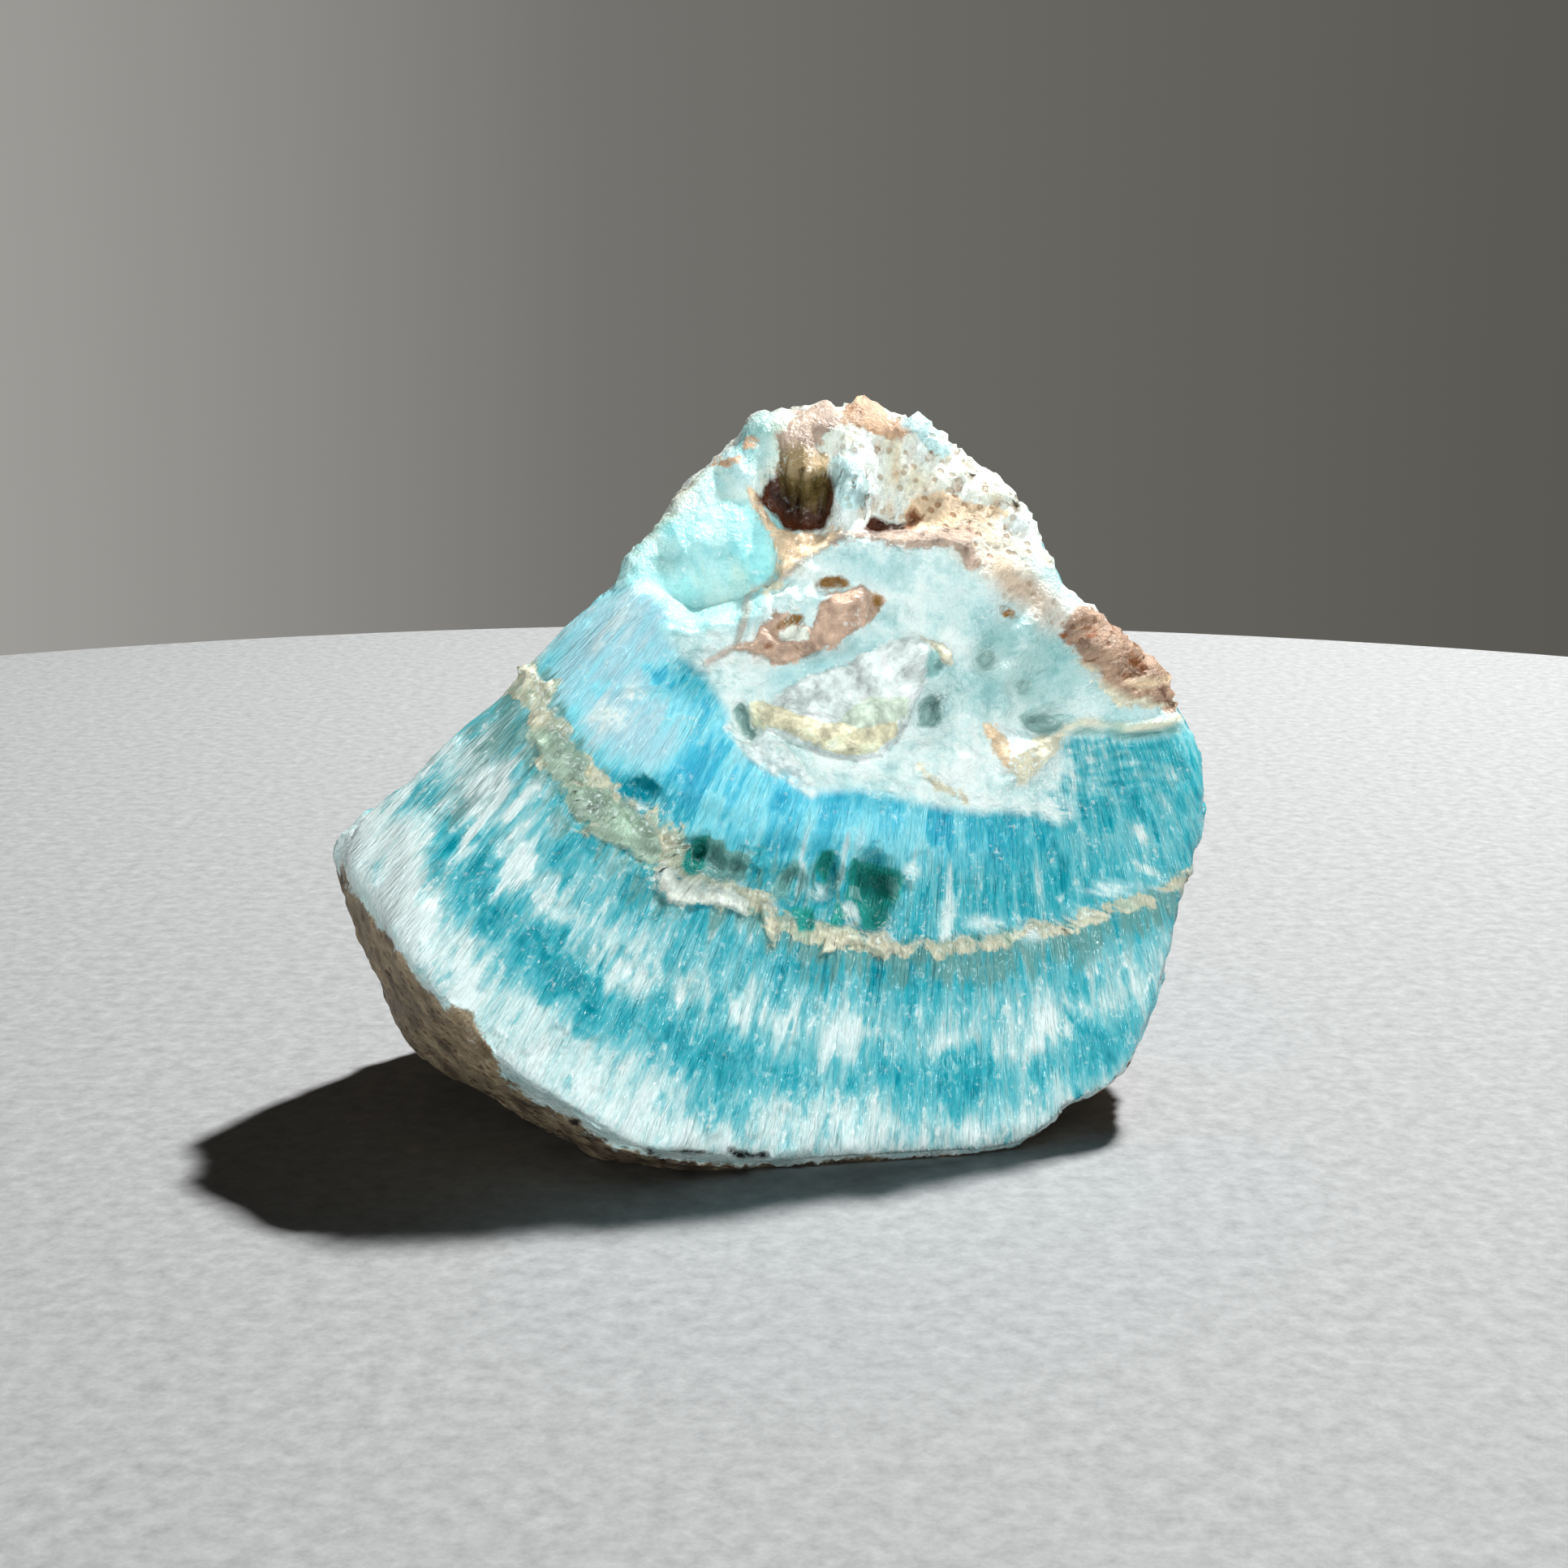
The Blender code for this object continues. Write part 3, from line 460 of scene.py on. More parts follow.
# Changes along the fibres: the middle, the half width across the fibres, the half length along
# them, and how much whiter they turn there.
BLOTCHES = (
    (-22.0, -7.0, 3.4, 1.5, -0.3), (-18.4, -9.4, 1.3, 1.2, -0.35), (-16.0, -11.7, 2.0, 1.0, -0.4),
    (-13.6, -14.8, 2.3, 1.0, -0.45), (-11.4, -15.0, 0.9, 1.6, -0.4), (-11.2, -7.2, 1.5, 1.9, -0.4),
    (-14.6, -6.2, 1.1, 0.9, -0.25), (-16.0, -3.3, 1.7, 0.7, -0.3), (-7.4, -9.8, 0.7, 1.4, -0.3),
    (-4.6, -11.4, 0.5, 1.6, -0.3), (-4.8, -18.2, 2.7, 1.9, -0.5), (0.8, -17.8, 0.7, 1.7, -0.35),
    (1.0, -10.4, 1.2, 2.4, -0.3), (3.4, -12.4, 0.5, 1.7, -0.3), (6.8, -12.6, 0.4, 1.7, -0.3),
    (13.6, -19.3, 2.3, 1.1, -0.5), (23.2, -16.8, 1.8, 1.3, -0.45), (22.0, -11.6, 0.7, 2.4, -0.4),
    (21.2, -18.3, 1.3, 0.9, -0.3), (15.6, -9.6, 0.8, 0.9, -0.25), (11.4, -12.0, 2.4, 0.9, -0.2),
    (-27.4, -6.4, 2.4, 1.3, 0.3), (-19.4, -6.4, 1.3, 1.4, 0.3), (-16.0, -8.5, 1.6, 1.2, 0.3),
    (-13.3, -9.9, 1.2, 1.1, 0.25), (-11.9, -12.4, 0.8, 1.0, 0.35), (-9.0, -13.0, 1.2, 1.0, 0.3),
    (-3.0, -15.2, 0.9, 0.8, 0.35), (0.4, -15.2, 1.3, 1.2, 0.3), (5.0, -15.5, 1.6, 1.0, 0.2),
    (-0.9, -13.4, 0.3, 1.7, 0.3), (21.0, -15.2, 1.7, 0.8, 0.35), (23.6, -13.7, 1.2, 0.7, 0.2),
    (27.0, -14.4, 0.5, 1.7, 0.25), (12.4, -10.8, 0.4, 1.1, 0.2), (17.4, -17.0, 1.2, 0.8, 0.2),
    # The paler blotch at -25, -1 on the left facet is painted light.
    (-22.2, -9.6, 2.2, 1.6, 0.35), (-25.0, -1.0, 3.5, 3.0, 0.25), (-20.6, -2.5, 2.2, 0.9, 0.3),
    (-20.6, 2.0, 1.0, 3.0, 0.25), (-23.5, -0.5, 0.6, 3.0, 0.25), (11.6, -0.7, 0.6, 1.2, -0.5),
    (12.5, -0.6, 0.2, 1.1, -0.4), (14.3, -0.9, 0.5, 1.3, -0.4), (16.6, -1.6, 1.0, 1.1, -0.5),
    (15.8, -5.2, 0.9, 2.1, -0.4), (12.8, -5.4, 0.5, 1.7, -0.3), (18.6, -5.6, 0.3, 1.6, -0.3),
    (20.6, -4.3, 0.5, 1.3, -0.3), (22.6, 0.6, 1.6, 0.8, -0.5), (25.4, 2.7, 1.7, 1.2, -0.4),
    (23.4, -1.6, 0.4, 1.6, -0.3), (-6.6, 0.9, 0.8, 0.8, -0.45), (-5.4, 4.0, 2.2, 1.7, -0.4),
    (0.2, 1.2, 0.7, 0.6, -0.3), (-15.2, 7.4, 1.0, 1.6, -0.25), (-9.4, 10.9, 2.6, 0.5, -0.45),
    (-11.4, 9.2, 1.6, 0.8, -0.3), (30.0, 4.0, 0.4, 2.4, -0.2), (21.9, 3.6, 1.6, 1.7, 0.35),
    (19.0, -3.6, 0.8, 1.1, 0.35), (12.3, -6.4, 0.3, 1.3, 0.55), (14.6, -5.0, 0.3, 1.8, 0.3),
    (17.3, -5.0, 0.4, 2.0, 0.3), (26.9, -2.4, 0.15, 1.3, 0.5), (4.5, -3.6, 0.35, 1.6, 0.4),
    (2.0, -4.0, 0.5, 2.0, 0.45), (-1.0, -3.4, 0.4, 1.8, 0.4), (28.0, 3.0, 0.3, 2.4, 0.2),
)

# Where white sugary crystals grow: the middle, the half sizes and the turn.
SUGAR = {
    "beside the dimples": ((18.6, 3.6), (2.6, 2.0), 20),
    "over the bulge": ((20.2, 0.8), (1.6, 1.0), -20),
    "seam tuft": ((-13.4, 1.4), (1.6, 1.3), 0),
    "glass tuft": ((-10.4, 0.2), (1.1, 1.4), 30),
    "left sill": ((-8.2, -3.6), (0.6, 0.7), 0),
    "pocket sill": ((-4.4, -4.8), (1.8, 0.7), -12),
    "slot foot": ((2.9, -5.4), (0.6, 0.5), 0),
    "little pocket": ((5.0, -7.0), (0.9, 1.0), 0),
    "main pocket foot": ((7.6, -8.4), (0.8, 1.3), 0),
    "main pocket end": ((9.8, -3.9), (0.6, 0.6), 0),
    "white tooth": ((12.4, -6.8), (0.5, 1.0), -10),
    "right teeth": ((15.4, -7.8), (1.2, 0.5), -10),
    "far teeth": ((18.8, -8.3), (1.1, 0.5), 0),
    "last teeth": ((24.2, -5.1), (1.1, 0.4), 5),
    "shoulder": ((-12.6, 7.6), (1.6, 0.7), 0),
    "shoulder glint": ((-10.8, 9.4), (0.7, 0.5), 0),
}


def smooth_step(value, low, high):
    share = np.clip((value - low) / (high - low), 0.0, 1.0)
    return share * share * (3.0 - 2.0 * share)


def mix(low, high, share):
    return low + (high - low) * share


def lattice(cells, seed):
    """A repeatable number from 0 to 1 for each whole-numbered cell."""
    column, row, layer = (cells[..., axis].astype(np.int64) for axis in range(3))
    mixed = (column * 374761393 + row * 668265263 + layer * 1440662683 + seed * 97861) & 0xFFFFFFFF
    mixed = ((mixed ^ (mixed >> 13)) * 1274126177) & 0xFFFFFFFF
    mixed = ((mixed ^ (mixed >> 15)) * 2246822519) & 0xFFFFFFFF
    return ((mixed ^ (mixed >> 16)) & 0xFFFFFF) / 16777215.0


def noise(points, seed):
    """Smooth noise between about -1 and 1, with lumps one unit across."""
    cell = np.floor(points)
    part = points - cell
    part = part * part * part * (part * (part * 6.0 - 15.0) + 10.0)
    total = np.zeros(len(points))
    for corner in np.ndindex(2, 2, 2):
        step = np.array(corner, float)
        weight = np.prod(np.where(step > 0.5, part, 1.0 - part), axis=1)
        total += weight * lattice(cell + step, seed)
    return total * 2.0 - 1.0


def rough(points, size, seed):
    """Noise of three sizes, the largest given in millimetres."""
    return (
        noise(points / size, seed)
        + 0.5 * noise(points / size * 2.03, seed + 1)
        + 0.25 * noise(points / size * 4.1, seed + 2)
    ) / 1.4


def pores(points, spacing, seed):
    """The distance to the nearest pore, in spacings, and a number from 0 to 1 for that pore."""
    places = points / spacing
    cell = np.floor(places)
    nearest = np.full(len(points), 9.0)
    pick = np.zeros(len(points))
    for corner in np.ndindex(3, 3, 3):
        there = cell + np.array(corner, float) - 1.0
        spot = np.stack([lattice(there, seed + axis) for axis in range(3)], axis=1)
        distance = np.linalg.norm(there + spot - places, axis=1)
        closer = distance < nearest
        nearest = np.where(closer, distance, nearest)
        pick = np.where(closer, lattice(there, seed + 7), pick)
    return nearest, pick


def seen_at(points):
    """Where the camera sees each point: across and up, in the plane of the middle point."""
    scale = SIGHT_DISTANCE / (SIGHT_DISTANCE + points @ AWAY)
    return (points @ RIGHT) * scale, (points @ UP) * scale


def read_place(points, normals):
    """Everything that the relief and the paint ask about each point of the skin."""
    place = SimpleNamespace(points=points, normals=normals)
    place.across, place.up = seen_at(points)
    place.depth = points @ AWAY
    rays = points + AWAY * SIGHT_DISTANCE
    place.rays = rays / np.linalg.norm(rays, axis=1)[:, None]
    place.facing = -np.sum(normals * place.rays, axis=1)
    place.front = smooth_step(place.facing, -0.05, 0.2)
    sideways, below = place.across - FAN_POINT[0], FAN_POINT[1] - place.up
    place.angle = np.degrees(np.arctan2(-sideways, below))
    place.radius = np.hypot(sideways, below)
    wobble = rough(points, 3.0, 11)
    place.past_seam = place.radius - np.interp(place.angle, *np.array(SEAM).T) + 0.45 * wobble
    rind = np.interp(place.angle, *np.array(RIND).T)
    place.past_rind = place.radius - rind + 0.5 * wobble
    place.share = place.past_seam / np.maximum(rind - place.radius + place.past_seam, 4.0)
    place.above_edge = place.up - np.interp(place.across, *np.array(LOBE_EDGE).T)
    outward = -UP[None, :] * (below / place.radius)[:, None]
    outward += RIGHT[None, :] * (sideways / place.radius)[:, None]
    place.outward = np.sum(normals * outward, axis=1)
    place.ragged = rough(points, 0.9, 21)
    place.drift = (0.22 * rough(points, 1.2, 23), 0.22 * rough(points, 1.2, 27))
    place.fan = np.stack(
        [np.radians(place.angle) * FAN_SCALE, place.radius, place.depth], axis=1
    )
    return place


def streaks(place, width, length, seed):
    """Noise drawn out along the fibres: across their width, along their length."""
    on_face = noise(place.fan / np.array([width, length, 6.0]), seed)
    on_side = noise(place.fan / np.array([width * 3.0, length, width * 1.6]), seed)
    return mix(on_side, on_face, place.front)


def cover(place, middle, half, turn, edge=0.22):
    """How far a turned oval covers each point, from 0 to 1, with a ragged edge."""
    cosine, sine = math.cos(math.radians(turn)), math.sin(math.radians(turn))
    across = place.across + place.drift[0] - middle[0]
    up = place.up + place.drift[1] - middle[1]
    along = across * cosine + up * sine
    beside = up * cosine - across * sine
    inside = (1.0 - np.hypot(along / half[0], beside / half[1])) * min(half)
    return smooth_step(inside + 0.16 * place.ragged, -edge, edge) * place.front


def near_line(place, corners, half_width):
    """How close each point is to a line of corners, from 0 to 1."""
    nearest = np.full(len(place.across), 1e6)
    for start, end in zip(corners[:-1], corners[1:]):
        run = np.subtract(end, start)
        offset = np.stack([place.across - start[0], place.up - start[1]], axis=1)
        share = np.clip(offset @ run / (run @ run), 0.0, 1.0)
        nearest = np.minimum(nearest, np.linalg.norm(offset - share[:, None] * run, axis=1))
    wobbly = nearest + 0.3 * half_width * place.ragged
    return (1.0 - smooth_step(wobbly, 0.4 * half_width, 1.4 * half_width)) * place.front


def inside_by(place, corners):
    """How far each point lies inside a closed outline, in millimetres, and less than 0 outside."""
    reach = np.full(len(place.across), -OUT_OF_REACH)
    low, high = np.min(corners, axis=0) - OUT_OF_REACH, np.max(corners, axis=0) + OUT_OF_REACH
    across, up = place.across + place.drift[0], place.up + place.drift[1]
    near = (place.facing > 0.0) & (across > low[0]) & (across < high[0])
    near &= (up > low[1]) & (up < high[1])
    across, up = across[near], up[near]
    nearest = np.full(len(across), OUT_OF_REACH)
    within = np.zeros(len(across), dtype=bool)
    for start, end in zip(corners, corners[1:] + corners[:1]):
        run_across, run_up = end[0] - start[0], end[1] - start[1]
        share = (across - start[0]) * run_across + (up - start[1]) * run_up
        share = np.clip(share / (run_across**2 + run_up**2), 0.0, 1.0)
        gap = np.hypot(across - start[0] - share * run_across, up - start[1] - share * run_up)
        nearest = np.minimum(nearest, gap)
        if run_up:
            beside = across < start[0] + (up - start[1]) * run_across / run_up
            within ^= ((start[1] > up) != (end[1] > up)) & beside
    reach[near] = np.where(within, nearest, -nearest)
    return reach


def trace(place, table, slope):
    """The outlines of a table on the skin: how far inside them, their colour and their height."""
    reach = np.full(len(place.across), -OUT_OF_REACH)
    colours = np.ones((len(reach), 3))
    height = np.zeros(len(reach))
    for colour, tall, corners in table.values():
        inside = inside_by(place, corners)
        colours[(inside > 0.0) | (inside > reach)] = linear(colour)
        reach = np.maximum(reach, inside)
        height = mix(height, tall, smooth_step(inside, -0.1, slope) * place.front)
    return reach, colours, height


def make_sphere():
    """A closed ball of square grids, finer towards the camera."""
    shape = bmesh.new()
    bmesh.ops.create_cube(shape, size=2.0)
    bmesh.ops.subdivide_edges(shape, edges=shape.edges[:], cuts=SKIN_CUTS, use_grid_fill=True)
    mesh = bpy.data.meshes.new("aragonite_skin")
    shape.to_mesh(mesh)
    shape.free()
    corners = np.empty(len(mesh.vertices) * 3)
    mesh.vertices.foreach_get("co", corners)
    corners = np.tan(corners.reshape(-1, 3) * math.pi / 4.0)
    directions = corners / np.linalg.norm(corners, axis=1)[:, None]
    toward = -directions @ AWAY
    turn = np.arccos(np.clip(toward, -1.0, 1.0))
    aside = directions + AWAY * toward[:, None]
    aside /= np.maximum(np.linalg.norm(aside, axis=1), 1e-9)[:, None]
    turned = np.radians(np.interp(np.degrees(turn), EVEN_TURNS, SKIN_TURNS))
    directions = -AWAY * np.cos(turned)[:, None] + aside * np.sin(turned)[:, None]
    return mesh, directions


def wrap(directions):
    """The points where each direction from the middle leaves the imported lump."""
    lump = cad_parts["blue_aragonite"]
    packed = lump.data
    tree = BVHTree.FromPolygons(
        [vertex.co[:] for vertex in packed.vertices],
        [face.vertices[:] for face in packed.polygons],
    )
    start = Vector(MIDDLE * MM)
    reach = np.empty(len(directions))
    for index, direction in enumerate(directions):
        far = start + Vector(direction) * OUTSIDE
        hit = tree.ray_cast(far, -Vector(direction))[0]
        reach[index] = (hit - start).length / MM
    return directions * reach[:, None]


def edge_ends(mesh):
    ends = np.empty(len(mesh.edges) * 2, dtype=np.int32)
    mesh.edges.foreach_get("vertices", ends)
    return ends.reshape(-1, 2)


def on_foot(points):
    """Which points lie on the flat that the lump stands on."""
    return points[:, 2] + MIDDLE[2] < FOOT_HEIGHT


def smooth(points, ends):
    """Each point moved to the middle of its neighbours, step by step. The foot stays flat."""
    count = np.bincount(ends.ravel(), minlength=len(points))
    foot = on_foot(points)
    for _ in range(SMOOTHING_STEPS):
        total = np.stack(
            [
                np.bincount(ends[:, 0], points[ends[:, 1], axis], len(points))
                + np.bincount(ends[:, 1], points[ends[:, 0], axis], len(points))
                for axis in range(3)
            ],
            axis=1,
        )
        moved = mix(points, total / count[:, None], 0.6)
        moved[foot, 2] = points[foot, 2]
        points = moved
    return points


def read_normals(mesh, points):
    mesh.vertices.foreach_set("co", ((points + MIDDLE) * MM).ravel())
    mesh.update()
    normals = np.empty(len(points) * 3)
    mesh.vertex_normals.foreach_get("vector", normals)
    return normals.reshape(-1, 3)


def set_masks(place):
    """Which growth each point belongs to, from 0 to 1."""
    points = place.points
    under = smooth_step(place.outward, 0.55, 0.75) * (1.0 - place.front)
    place.rind_reach = place.past_rind
    below = smooth_step(place.past_rind, -0.15, 0.25)
    place.rind = np.maximum(below, under * smooth_step(place.radius, 52.0, 60.0))
    teeth = 0.5 * streaks(place, 0.9, 3.0, 28) + 0.3 * place.ragged
    teeth *= 1.0 + 0.8 * smooth_step(place.angle, 12.0, 26.0)
    width = 0.5 + 0.9 * smooth_step(place.angle, 8.0, 26.0) + 0.35 * rough(points, 2.4, 29)
    place.seam_reach = width - np.abs(place.past_seam + teeth)
    place.seam = smooth_step(place.seam_reach, -0.1, 0.25) * (1.0 - place.rind)
    glassy = SEAM_GLASS * smooth_step(place.angle, 17.0, 27.0)
    place.below_seam = smooth_step(place.past_seam + glassy, -1.4, 0.2)
    place.below_seam *= smooth_step(place.past_seam + 2.0 * teeth, 4.6, 0.8)
    top_line = place.up - 0.10 * place.across + 1.4 * rough(points, 4.0, 31)
    above = smooth_step(place.above_edge, -0.2, 0.8)
    place.crust = mix(smooth_step(top_line, 17.0, 23.0), above, place.front)
    place.porous = mix(1.0, smooth_step(place.across, 1.0, 7.0), place.front)
    place.lobe = smooth_step(inside_by(place, LOBE), -0.7, 0.5) * (1.0 - place.crust)
    place.mass = smooth_step(inside_by(place, GROWTHS["right mass"][2]), -0.1, 0.4)
    crystals_near = [cover(place, *oval, 0.5) for oval in SUGAR.values()]
    crystals_near += [near_line(place, line, 0.55) for line in CRYSTAL_LINES]
    on_seam = smooth_step(place.past_seam + 0.6 * rough(points, 1.6, 33), 0.5, -0.3) * place.seam
    place.sugar = np.max([*crystals_near, 0.8 * on_seam * place.front], axis=0)
    place.fibres = (1.0 - place.rind) * (1.0 - place.crust) * (1.0 - place.lobe)
    place.growth_reach, place.growth_colour, place.growth_height = trace(place, GROWTHS, 0.3)
    place.hole_reach, place.hole_colour, place.hole_depth = trace(place, HOLES, 0.8)
    bulge_reach, bulge_colour, bulge_height = trace(place, BULGES, 1.3)
    # Each hole is painted darker towards its deep middle: painted shade.
    deep = np.clip(place.hole_depth / DARKEST_DEPTH, 0.0, 1.0)
    painted_shade = HOLE_SHADE * smooth_step(place.hole_reach, 0.0, 1.0) * deep
    place.hole_colour *= (1.0 - painted_shade)[:, None]
    place.hole_depth -= bulge_height
    place.hole_colour[bulge_reach > 0.0] = bulge_colour[bulge_reach > 0.0]


def crystals(points, spacing, seed):
    """Low blunt crystals: how high each point stands, and a number from 0 to 1 for each one."""
    distance, pick = pores(points, spacing, seed)
    return np.maximum(0.75 - distance, 0.0) * (0.4 + 0.9 * pick), pick


def relief(place):
    """How deep each point of the skin lies under the smooth lump, in millimetres."""
    points = place.points
    wide, narrow = streaks(place, 0.8, 7.0, 41), streaks(place, 0.4, 4.0, 43)
    grooves = 0.6 * np.abs(wide) + 0.4 * np.abs(narrow)
    waves = streaks(place, 2.2, 12.0, 45)
    flakes = smooth_step(streaks(place, 1.1, 2.6, 47), -0.1, 0.1)
    bare = place.fibres * (1.0 - smooth_step(place.growth_reach, -0.2, 0.1))
    calm = 1.0 - 0.6 * place.look[:, 1]
    depth = bare * (calm * (GROOVE * grooves + FLAKE * flakes) + FIBRE_WAVE * waves)
    blunt, place.crystal = crystals(points, 1.0, 51)
    small, place.small_crystal = crystals(points, 0.55, 55)
    sugary = place.sugar * (1.0 - smooth_step(place.hole_reach, -0.2, 0.2))
    depth -= place.seam * (SEAM_CRYSTALS[0] * blunt + SEAM_CRYSTALS[1] * small)
    depth -= sugary * (SUGAR_CRYSTALS[0] * blunt + SUGAR_CRYSTALS[1] * small)
    depth -= GROWTH_CRYSTALS * small * smooth_step(place.growth_reach, 0.0, 0.4)
    distance, pick = pores(points, 1.5, 61)
    pit = (1.0 - smooth_step(distance, 0.12, 0.42)) * (pick > 0.45)
    fine, fine_pick = pores(points, 0.8, 71)
    fine_pit = (1.0 - smooth_step(fine, 0.15, 0.45)) * (fine_pick > 0.5)
    open_crust = np.maximum(place.crust * (0.15 + 0.85 * place.porous), place.mass)
    place.pit = open_crust * np.clip(pit + 0.7 * fine_pit, 0.0, 1.0)
    waves = rough(points, 1.8, 63)
    depth += open_crust * (PIT * pit + FINE_PIT * fine_pit + PIT_WAVE * waves)
    crumb, place.crumb = crystals(points, 1.7, 75)
    plain = place.crust * (1.0 - cover(place, *VALLEY, 1.0))
    plain *= 1.0 - smooth_step(place.hole_reach, -0.2, 0.2)
    depth -= plain * (CRUMB * crumb + CRUMB_CRYSTALS * small)
    depth += plain * CRUMB_WAVE * rough(points, 2.6, 64)
    depth -= VALLEY_FILL * cover(place, *VALLEY, 2.0)
    lobe_waves = LOBE_WAVES[0] * rough(points, 3.0, 65) + LOBE_WAVES[1] * rough(points, 1.1, 66)
    depth += place.lobe * lobe_waves
    depth += place.rind * (RIND_WAVE * rough(points, 1.4, 67) + RIND_PIT * fine_pit)
    depth += place.hole_depth - place.growth_height
    depth -= CONTACT_RIDGE * near_line(place, CONTACT_LINE, 0.4)
    return depth - PATCH_RIDGE * near_line(place, PATCH_EDGE, 0.3)


def press(place, depth):
    """Push the front along the lines of sight and the rest along its normals."""
    seen = smooth_step(place.facing, 0.1, 0.35)
    held = np.where(on_foot(place.points), 0.0, depth)
    along = place.rays * (held * seen)[:, None]
    inward = place.normals * (held * (1.0 - seen))[:, None]
    return place.points + along - inward


def linear(colour):
    """A screen colour as the light values that the shader takes."""
    value = np.asarray(colour, float) / 255.0
    return np.where(value <= 0.04045, value / 12.92, ((value + 0.055) / 1.055) ** 2.4)


def ramp(value, stops):
    """Colours between stops of (value, screen colour)."""
    places = [stop[0] for stop in stops]
    colours = np.array([linear(stop[1]) for stop in stops])
    return np.stack([np.interp(value, places, colours[:, band]) for band in range(3)], axis=1)


def lay(paint, colour, share):
    paint += (linear(colour)[None, :] - paint) * share[:, None]


def blotch(place, across, up, half_width, half_length):
    """How far a streaky oval along the fibres covers each point, from 0 to 1."""
    sideways, below = across - FAN_POINT[0], FAN_POINT[1] - up
    radius = math.hypot(sideways, below)
    turn = np.radians(place.angle) - math.atan2(-sideways, below)
    sideways = turn * radius / (0.9 * half_width)
    inside = 1.0 - np.hypot(sideways, (place.radius - radius) / (1.3 * half_length))
    return smooth_step(inside + 2.0 * place.streaky, -0.3, 0.6) * place.front


def look_of_fibres(place):
    """How white, how blue and how beige the fibres are."""
    place.streaky = 0.7 * streaks(place, 1.0, 3.6, 81) + 0.6 * streaks(place, 0.5, 2.6, 83)
    white = np.interp(place.share, BAND_PLACES, BAND_WHITES)
    white += (0.16 * streaks(place, 2.6, 4.4, 85) + 0.20 * place.streaky) * (1.2 - white)
    # On the left facet the fibres are painted paler: painted light.
    white += 0.22 * smooth_step(place.angle, 36.0, 44.0) * place.front
    for across, up, half_width, half_length, shift in BLOTCHES:
        white += 0.8 * shift * blotch(place, across, up, half_width, half_length)
    blue = np.zeros(len(white))
    for change, middle, half, turn, strength in BLUE_AREAS.values():
        share = strength * cover(place, middle, half, turn, edge=1.6)
        blue = mix(blue, 1.0, share)
        white = mix(white, white + change, share)
    rings = np.sin(place.past_seam * 2.0 * math.pi / RING_SPACING) * cover(place, *RINGS)
    beige = [strength * cover(place, *oval, 1.6) for *oval, strength in BEIGE_AREAS]
    beige = np.max([place.below_seam, *beige], axis=0)
    return np.stack([np.maximum(white, 0.1) + 0.1 * rings, blue, beige], axis=1)


def paint_skin(place):
    """The colour of every point where it isn't a fibre, and how far it is one, from 0 to 1."""
    points = place.points
    lobe_tone = 0.74 + 0.45 * rough(points, 3.6, 91) + 0.15 * rough(points, 0.8, 92)
    paint = ramp(lobe_tone, LOBE_STOPS)
    crust_tone = 0.45 + 0.45 * rough(points, 2.2, 93) + 0.4 * place.crumb * place.small_crystal
    crust = ramp(crust_tone, CRUST_STOPS)
    # Away from the front the crust is painted darker: painted shade.
    crust *= mix(0.72, 1.0, place.front)[:, None]
    paint = mix(paint, crust, np.maximum(place.crust, place.mass)[:, None])
    mottled = np.clip(0.85 + 0.6 * rough(points, 1.5, 94), 0.2, 1.0)
    for colour, middle, half, turn, strength in WASHES.values():
        lay(paint, colour, strength * mottled * cover(place, middle, half, turn, edge=0.9))
    show = place.fibres.copy()
    sugar_tone = 0.5 * place.crystal + 0.5 * place.small_crystal
    rim = smooth_step(place.past_rind, -1.3, -0.4) * place.front
    layers = (
        (ramp(sugar_tone, SUGAR_STOPS), place.sugar * smooth_step(sugar_tone, 0.2, 0.5)),
        (linear(CREAM), 0.9 * near_line(place, CONTACT_LINE, 0.35)),
        # Painted shade along the lower side of the contact line.
        (linear(SHADE_OLIVE_TEAL), 0.8 * near_line(place, CONTACT_SHADE, 0.35)),
        (linear(DEEP_PINK), 0.6 * near_line(place, PATCH_EDGE, 0.3)),
        (linear(ORANGE_TAN), 0.75 * place.pit * (1.0 - place.mass) * place.porous),
        (linear(SLOT_BROWN), 0.6 * place.pit * place.mass),
        (linear(RIM_PALE), 0.7 * rim),
    )
    for colour, share in layers:
        paint = mix(paint, colour, share[:, None])
        show *= 1.0 - share
    return np.clip(paint, 0.0, 1.0), show


def paint_growths(place):
    """How far inside a crust, the seam or the rind each point lies, and its colour there."""
    points = place.points
    tone = 0.5 * place.crystal + 0.5 * place.small_crystal
    seam = ramp(tone, SEAM_STOPS)
    # The rind is painted darker towards the bottom, as painted shade, over a tone that differs at
    # random.
    rind_tone_and_shade = 0.45 + 0.5 * rough(points, 1.3, 95) + 0.2 * smooth_step(place.up, -26.0, -22.0)
    rind = ramp(rind_tone_and_shade, RIND_STOPS)
    colours = place.growth_colour * (0.68 + 0.52 * tone + 0.42 * rough(points, 1.0, 97))[:, None]
    reach = place.growth_reach
    covered = reach > 0.0
    for inside, colour in ((place.seam_reach, seam), (place.rind_reach, rind)):
        nearer = (inside > reach) & ~covered
        colours = np.where(nearer[:, None], colour, colours)
        reach = np.maximum(reach, inside)
    behind = (place.rind > 0.5) & (place.front < 0.5)
    colours = np.where(behind[:, None], rind, colours)
    reach = mix(np.maximum(place.rind - 0.5, place.seam_reach), reach, place.front)
    return reach, np.clip(colours, 0.0, 1.0)


def keep(mesh, name, kind, values):
    """Store one value, vector or colour for each point of the mesh."""
    attribute = mesh.attributes.new(name, kind, "POINT")
    field = {"FLOAT": "value", "FLOAT_VECTOR": "vector", "FLOAT_COLOR": "color"}[kind]
    attribute.data.foreach_set(field, np.ascontiguousarray(values, dtype=np.float32).ravel())


